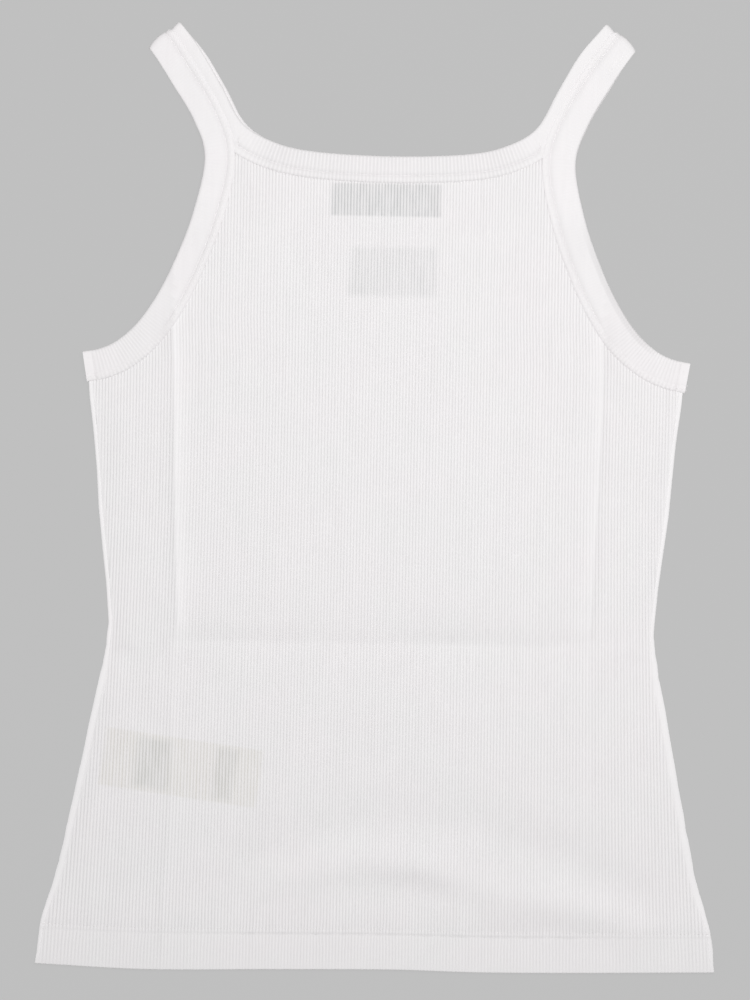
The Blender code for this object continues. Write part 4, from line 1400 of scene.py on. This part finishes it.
def section_points(sections, inward, lift, bulge):
    """Places of points across the sections."""
    centre, offset = edge_stack(sections["gap"][:, None])
    angle = sections["angle"][:, None]
    in_front = sections["angle"][:, None] < 0.1
    share = np.clip(inward / sections["width"][:, None], 0.0, 1.0)
    swell = bulge * np.sin(math.pi * share) ** 0.7 if bulge > 1 * MM else bulge
    reach = (offset + lift + swell) * np.sin(angle)
    at = (
        sections["at"][:, None, :]
        + sections["into"][:, None, :] * inward[..., None]
        + sections["along"][:, None, :] * reach[..., None]
    )
    crease = BINDING_CREASE * in_front * fold_height(at[..., 0], at[..., 1], FRONT_FOLDS[:4])
    return to_frame(at[..., 0], at[..., 1], centre + (offset + lift) * np.cos(angle) + crease)


def painted_row_shading(inward, width, y):
    """Painted shade along a binding's stitch row, and a painted highlight on the cloth that the row raises
    beside it.
    """
    from_row = inward - width + ROW_FROM_EDGE
    sewn = BINDING_ROW_SHADING["row"] * ridge(from_row, 0.6 * MM) * (0.8 + 0.4 * uneven(y, 19.0 * MM))
    raised = rises(from_row, 0.8, 0.8) * rises(width - inward, 0.5, 0.8)
    return sewn + BINDING_ROW_SHADING["beside"] * raised


def binding_grid(binding, sections, length, pitch, travelled):
    """Points, knit coordinates and painted light and shade of a binding, its ribs lying across it."""
    cloth = bpy.context.scene.tank_top_cloth
    place, width, below = (sections[key][:, None] for key in ("place", "width", "below"))
    depth = binding["depth"](place, length)
    grooved = row_share(binding, place)
    tucked = np.zeros_like(depth)
    if not binding["whole"]:
        grooved = rises(width, 12.2, 4)
        tucked = smoothstep((NECK_BINDING - width) / (1.5 * MM))
    dips = np.maximum(tucked, rises(below, 92, 20))
    inward, lift = binding_columns(sections, grooved, tucked, dips)
    if binding["whole"]:
        lift = lift - np.sign(lift) * GROOVE["end"] * ridge(place - END_ROW, MM) * (inward > 2 * MM)
        depth = depth * smoothstep((place - END_ROW) / (3 * MM))
    points = section_points(sections, inward, lift, binding["bulge"])
    rib = np.broadcast_to((travelled / pitch)[:, None], inward.shape)
    course = (inward + np.where(lift < 0, 0.4, 0.0) * MM) / cloth.course
    calm = 1.0 - 0.5 * ridge(inward - width + ROW_FROM_EDGE, MM)
    knit = np.stack([rib, course, depth * calm], axis=-1)
    x, y = points[..., 0], points[..., 1] + CENTRE_HEIGHT
    in_front = sections["angle"][:, None] < 0.1
    # Painted light and shade beside the creases that run on into the binding, and along its stitch row.
    painted_light = in_front * painted_fold_light(x, y, FRONT_FOLDS[:4])
    painted_light = painted_light + grooved * painted_row_shading(inward, width, points[..., 1])
    if binding["whole"]:
        painted_light = painted_light + armhole_shading(inward, place, length, x, in_front)
    return points, knit, painted_light


def distance_travelled(sections, length):
    """Distance along a binding from its first section, the shoulder fold counted as a short arc."""
    turned = sections["angle"] > math.pi - 1e-6
    place = np.where(turned, 2 * length - sections["place"], sections["place"])
    return place + sections["angle"] / math.pi * 7.0 * MM


def stitch_rows(name, rows, material, scale=1.0, length=0.84, zigzag=0.0, fine=1.0):
    """Thread along rows of points, each with the direction out of the cloth."""
    thread = bpy.context.scene.tank_top_thread
    points = np.concatenate([row[0] for row in rows])
    facing = np.concatenate([row[1] for row in rows])
    edges = []
    first = 0
    for row, _ in rows:
        edges += [(first + index, first + index + 1) for index in range(len(row) - 1)]
        first += len(row)
    mesh = bpy.data.meshes.new(name)
    mesh.from_pydata(points, edges, [])
    mesh.attributes.new(FACING, "FLOAT_VECTOR", "POINT").data.foreach_set("vector", facing.ravel())
    made = new_object(name, mesh)
    sewn = made.modifiers.new("stitches", "NODES")
    sewn.node_group = stitch_tree()
    set_input(sewn, "Pitch", thread.pitch * scale)
    set_input(sewn, "Length", thread.pitch * scale * length)
    set_input(sewn, "Zigzag", zigzag)
    set_input(sewn, "Radius", thread.radius * fine)
    set_input(sewn, "Rise", 2 * thread.radius * fine)
    set_input(sewn, "Seed", thread.seed)
    set_input(sewn, "Thread", material)
    return bake(made)


def binding_row(binding, side, spacing=1.5 * MM, from_edge=ROW_FROM_EDGE, keep=None):
    """A stitch row along a binding, on its outer face all the way over the shoulder."""
    cloth = bpy.context.scene.tank_top_cloth
    sections, _ = over_the_shoulder(binding, side, spacing)
    if keep is not None:
        chosen = keep(sections)
        sections = {key: value[chosen] for key, value in sections.items()}
    radius = (sections["gap"][:, None] + WALL) / 2
    inward = sections["width"][:, None] - from_edge
    share = row_share(binding, sections["place"])[:, None]
    sunk = GROOVE["binding"] * share if from_edge == ROW_FROM_EDGE else 0.0
    lift = radius - sunk + cloth.binding_wall / 2 + 0.02 * MM
    points = section_points(sections, inward, lift, binding["bulge"])[:, 0]
    along = sections["along"] * np.sin(sections["angle"])[:, None]
    facing = np.column_stack([along, np.cos(sections["angle"])])
    return points, facing


def hem_row(turned, upper):
    """A stitch row round one panel's hem."""
    cloth = bpy.context.scene.tank_top_cloth
    reach = float(panel_half_width(np.array(HEM_ROWS[0]))) - 2.5 * MM
    x = np.linspace(-reach, reach, 300)
    y = np.full(len(x), HEM_ROWS[1] if upper else HEM_ROWS[0])
    side = -1.0 if turned else 1.0
    sunk = GROOVE["second_hem" if upper else "hem"]
    surface = back_height(x, y) if turned else front_height(x, y)
    z = surface + side * (cloth.wall / 2 - sunk + 0.12 * MM)
    dx, dy = laid_offset(x, y, turned)
    return to_frame(x + dx, y + dy, z), np.tile([0.0, 0.0, side], (len(x), 1))


def end_row(side, turned):
    """The short row that closes an armhole binding's end beside the side seam."""
    cloth = bpy.context.scene.tank_top_cloth
    run = edge_run(ARMHOLE_LINE, -1, np.array([END_ROW, END_ROW + 1 * MM]))
    sections = edge_sections(run, np.full(2, ARMHOLE_BINDING), side, turned)
    inward = np.tile(np.linspace(1.5 * MM, ARMHOLE_BINDING - 0.6 * MM, 16), (2, 1))
    radius = (PANEL_GAP + WALL) / 2
    lift = np.full_like(inward, radius + cloth.binding_wall / 2 - GROOVE["end"] + 0.08 * MM)
    points = section_points(sections, inward, lift, 0.0)[0]
    return points, np.tile([0.0, 0.0, -1.0 if turned else 1.0], (len(points), 1))


def label_points(size, height):
    """A grid of points over a label, at a height that a function gives."""
    turn = math.radians(size["turn"])
    across = np.linspace(-0.5, 0.5, 25)[None, :] * size["width"] * MM
    up = np.linspace(-0.5, 0.5, 13)[:, None] * size["height"] * MM
    x = size["x"] * MM + across * math.cos(turn) - up * math.sin(turn)
    y = size["y"] * MM + across * math.sin(turn) + up * math.cos(turn)
    return x, y, height(x, y)


# --- Operators ---------------------------------------------------------------------------------

class TANKTOP_OT_panels(bpy.types.Operator):
    """Knit the front and back panels, with their hems turned up"""

    bl_idname = "tank_top.panels"
    bl_label = "Front and Back Panels"

    def execute(self, context):
        cloth = context.scene.tank_top_cloth
        front_cloth = knit_material("body_rib_front", cloth.colour, 0.146, 0.55, SHADOWS)
        back_cloth = knit_material("body_rib_back", cloth.colour, 0.146, 0.55)
        sides = [
            ("front", FRONT_LEVEL, front_height, front_cloth),
            ("back", BACK_LEVEL, back_height, back_cloth),
        ]
        for side, levels, height, material in sides:
            turned = side == "back"
            points, knit, painted_light = panel_grid(levels, height, turned)
            mesh = sheet_mesh("tank_" + side, points, knit, painted_light, flip=turned)
            made = knitted("tank_" + side, mesh, cloth.rib_relief, material, cloth.wall)
            finish_piece(made, [side + "_panel"])
        return {"FINISHED"}


class TANKTOP_OT_neck_binding(bpy.types.Operator):
    """Bind the neckline and run the binding on over both straps"""

    bl_idname = "tank_top.neck_binding"
    bl_label = "Neck Binding"

    def execute(self, context):
        cloth = context.scene.tank_top_cloth
        halves = []
        for side in (1.0, -1.0):
            sections, length = over_the_shoulder(NECK, side, cloth.neck_pitch)
            travelled = distance_travelled(sections, length)
            halves.append(binding_grid(NECK, sections, length, cloth.neck_pitch, travelled))
        right, left = halves
        around = float(np.floor(right[1][:, 0, 0].max())) + 1.0
        left[1][..., 0] = 2 * around - left[1][..., 0]
        points, knit, painted_light = (np.concatenate([a, b[::-1][1:]]) for a, b in zip(right, left))
        material = knit_material("binding_rib_neck", cloth.binding_colour, 0.10, 0.45)
        mesh = sheet_mesh("tank_neck_binding", points, knit, painted_light)
        made = knitted("tank_neck_binding", mesh, 0.7 * cloth.rib_relief, material, cloth.binding_wall)
        finish_piece(made, ["neck_binding"])
        return {"FINISHED"}


class TANKTOP_OT_armhole_bindings(bpy.types.Operator):
    """Bind both armholes and run the bindings on over the straps"""

    bl_idname = "tank_top.armhole_bindings"
    bl_label = "Armhole Bindings"

    def execute(self, context):
        cloth = context.scene.tank_top_cloth
        material = knit_material("binding_rib_armhole", cloth.binding_colour, 0.10, 0.45)
        for name, side in (("right", 1.0), ("left", -1.0)):
            sections, length = over_the_shoulder(ARMHOLE, side, cloth.armhole_pitch)
            travelled = distance_travelled(sections, length)
            points, knit, painted_light = binding_grid(ARMHOLE, sections, length, cloth.armhole_pitch, travelled)
            piece = "tank_armhole_binding_" + name
            mesh = sheet_mesh(piece, points, knit, painted_light)
            made = knitted(piece, mesh, 0.6 * cloth.rib_relief, material, cloth.binding_wall)
            finish_piece(made, ["armhole_binding_" + name])
        return {"FINISHED"}


class TANKTOP_OT_labels(bpy.types.Operator):
    """Lay the three bare labels on the back panel's inner face"""

    bl_idname = "tank_top.labels"
    bl_label = "Labels"

    def execute(self, context):
        finishes = {
            "neck_label": ("woven_label", (0.045, 0.047, 0.05), (0.07, 0.072, 0.075), 0.34 * MM),
            "size_label": ("size_label", (0.12, 0.122, 0.125), (0.16, 0.162, 0.165), 0.30 * MM),
            "care_label": ("care_label", (0.66, 0.64, 0.56), (0.72, 0.70, 0.63), 0.26 * MM),
        }
        for size in LABELS:
            slot, colour, second, yarn = finishes[size["name"]]
            material = label_material("tank_" + size["name"], colour, second, yarn)
            x, y, z = label_points(size, back_height)
            points = to_frame(x, y, z + WALL + GAP)
            made = new_object("tank_" + size["name"], sheet_mesh("tank_" + size["name"], points))
            made.data.materials.append(material)
            wall = made.modifiers.new("wall", "SOLIDIFY")
            wall.thickness = LABEL_WALL
            wall.offset = 0.0
            bake(made)
            finish_piece(made, [size["name"]])
        return {"FINISHED"}


class TANKTOP_OT_stitching(bpy.types.Operator):
    """Sew the rows of stitches round the neck, armholes and hem"""

    bl_idname = "tank_top.stitching"
    bl_label = "Stitching"

    def execute(self, context):
        material = thread_material()
        wide = NECK_BINDING - 1.5 * MM
        neck_rows = []
        for side in (1.0, -1.0):
            for angle in (0.0, math.pi):
                neck_rows.append(binding_row(
                    NECK, side,
                    keep=lambda s, angle=angle: (s["width"] > wide) & (np.abs(s["angle"] - angle) < 1e-6)))
        pieces = [stitch_rows("tank_stitches_neck", neck_rows, material, 0.95)]
        for name, side in (("right", 1.0), ("left", -1.0)):
            rows = [binding_row(ARMHOLE, side), end_row(side, False), end_row(side, True)]
            pieces.append(stitch_rows("tank_stitches_armhole_" + name, rows, material))
            cover = [binding_row(ARMHOLE, side, from_edge=0.5 * ROW_FROM_EDGE)]
            pieces.append(stitch_rows("tank_cover_thread_" + name, cover, material, 0.6, 1.7, 0.95, 0.62))
        rows = [hem_row(turned, upper) for turned in (False, True) for upper in (False, True)]
        pieces.append(stitch_rows("tank_stitches_hem", rows, material, 1.1))
        for made in pieces:
            finish_piece(made)
        return {"FINISHED"}


class TANKTOP_OT_stage(bpy.types.Operator):
    """Set up the plain floor, the soft light and the camera"""

    bl_idname = "tank_top.stage"
    bl_label = "Stage"

    def execute(self, context):
        studio = context.scene.tank_top_studio
        self.floor(studio)
        self.light(context, studio)
        self.camera(context, studio)
        context.scene.view_settings.view_transform = "Standard"
        return {"FINISHED"}

    @staticmethod
    def floor(studio):
        half = 1.6
        points = np.array([[[-half, -half, -0.2 * MM], [half, -half, -0.2 * MM]],
                           [[-half, half, -0.2 * MM], [half, half, -0.2 * MM]]])
        floor = new_object("floor", sheet_mesh("floor", points))
        material, tree, shader = new_material("pale_floor")
        grain = noise(tree, object_place(tree), 3.0, 1.0)
        for share, socket in ((studio.floor_shade, "Base Color"), (1.0, "Emission Color")):
            tones = [rgba([share * level * part for part in studio.floor_colour]) for level in (0.997, 1.003)]
            tree.links.new(mixed(tree, grain, *tones), shader.inputs[socket])
        shader.inputs["Emission Strength"].default_value = 1.0
        shader.inputs["Roughness"].default_value = 0.95
        shader.inputs["Specular IOR Level"].default_value = 0.1
        floor.data.materials.append(material)

    @staticmethod
    def light(context, studio):
        key = bpy.data.lights.new("key", "AREA")
        key.shape = "RECTANGLE"
        key.size = 0.55
        key.size_y = 0.40
        key.energy = studio.key_power
        lamp = bpy.data.objects.new("key", key)
        lamp.location = (0.12, 0.23, 1.5)
        context.scene.collection.objects.link(lamp)
        world = bpy.data.worlds.new("studio")
        world.use_nodes = True
        sky = world.node_tree.nodes["Background"]
        sky.inputs["Color"].default_value = (1.0, 1.0, 1.0, 1.0)
        sky.inputs["Strength"].default_value = studio.fill
        context.scene.world = world

    @staticmethod
    def camera(context, studio):
        data = bpy.data.cameras.new("camera")
        data.lens = data.sensor_width * studio.camera_height / studio.view_length
        data.clip_end = 20.0
        camera = bpy.data.objects.new("camera", data)
        camera.location = (studio.view_x, studio.view_y, studio.camera_height)
        camera.rotation_euler = (0.0, 0.0, studio.view_turn)
        context.scene.collection.objects.link(camera)
        context.scene.camera = camera


OPERATORS = (
    TANKTOP_OT_panels,
    TANKTOP_OT_neck_binding,
    TANKTOP_OT_armhole_bindings,
    TANKTOP_OT_labels,
    TANKTOP_OT_stitching,
    TANKTOP_OT_stage,
)


class TANKTOP_PT_sidebar(bpy.types.Panel):
    """Builds the tank top piece by piece"""

    bl_idname = "TANKTOP_PT_sidebar"
    bl_label = "Tank Top"
    bl_space_type = "VIEW_3D"
    bl_region_type = "UI"
    bl_category = "Tank Top"

    def draw(self, context):
        for group in (
            context.scene.tank_top_cloth, context.scene.tank_top_thread, context.scene.tank_top_studio,
        ):
            box = self.layout.box()
            for name in group.__annotations__:
                box.prop(group, name)
        for operator in OPERATORS:
            self.layout.operator(operator.bl_idname)


SETTINGS = {
    "tank_top_cloth": TankTopCloth,
    "tank_top_thread": TankTopThread,
    "tank_top_studio": TankTopStudio,
}
CLASSES = (*SETTINGS.values(), *OPERATORS, TANKTOP_PT_sidebar)


def register():
    for item in CLASSES:
        bpy.utils.register_class(item)
    for name, group in SETTINGS.items():
        setattr(bpy.types.Scene, name, PointerProperty(type=group))


def unregister():
    for name in SETTINGS:
        delattr(bpy.types.Scene, name)
    for item in reversed(CLASSES):
        bpy.utils.unregister_class(item)


def main():
    register()
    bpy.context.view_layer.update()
    bpy.ops.tank_top.panels()
    bpy.ops.tank_top.neck_binding()
    bpy.ops.tank_top.armhole_bindings()
    bpy.ops.tank_top.labels()
    bpy.ops.tank_top.stitching()
    bpy.ops.tank_top.stage()


if __name__ == "__main__":
    main()
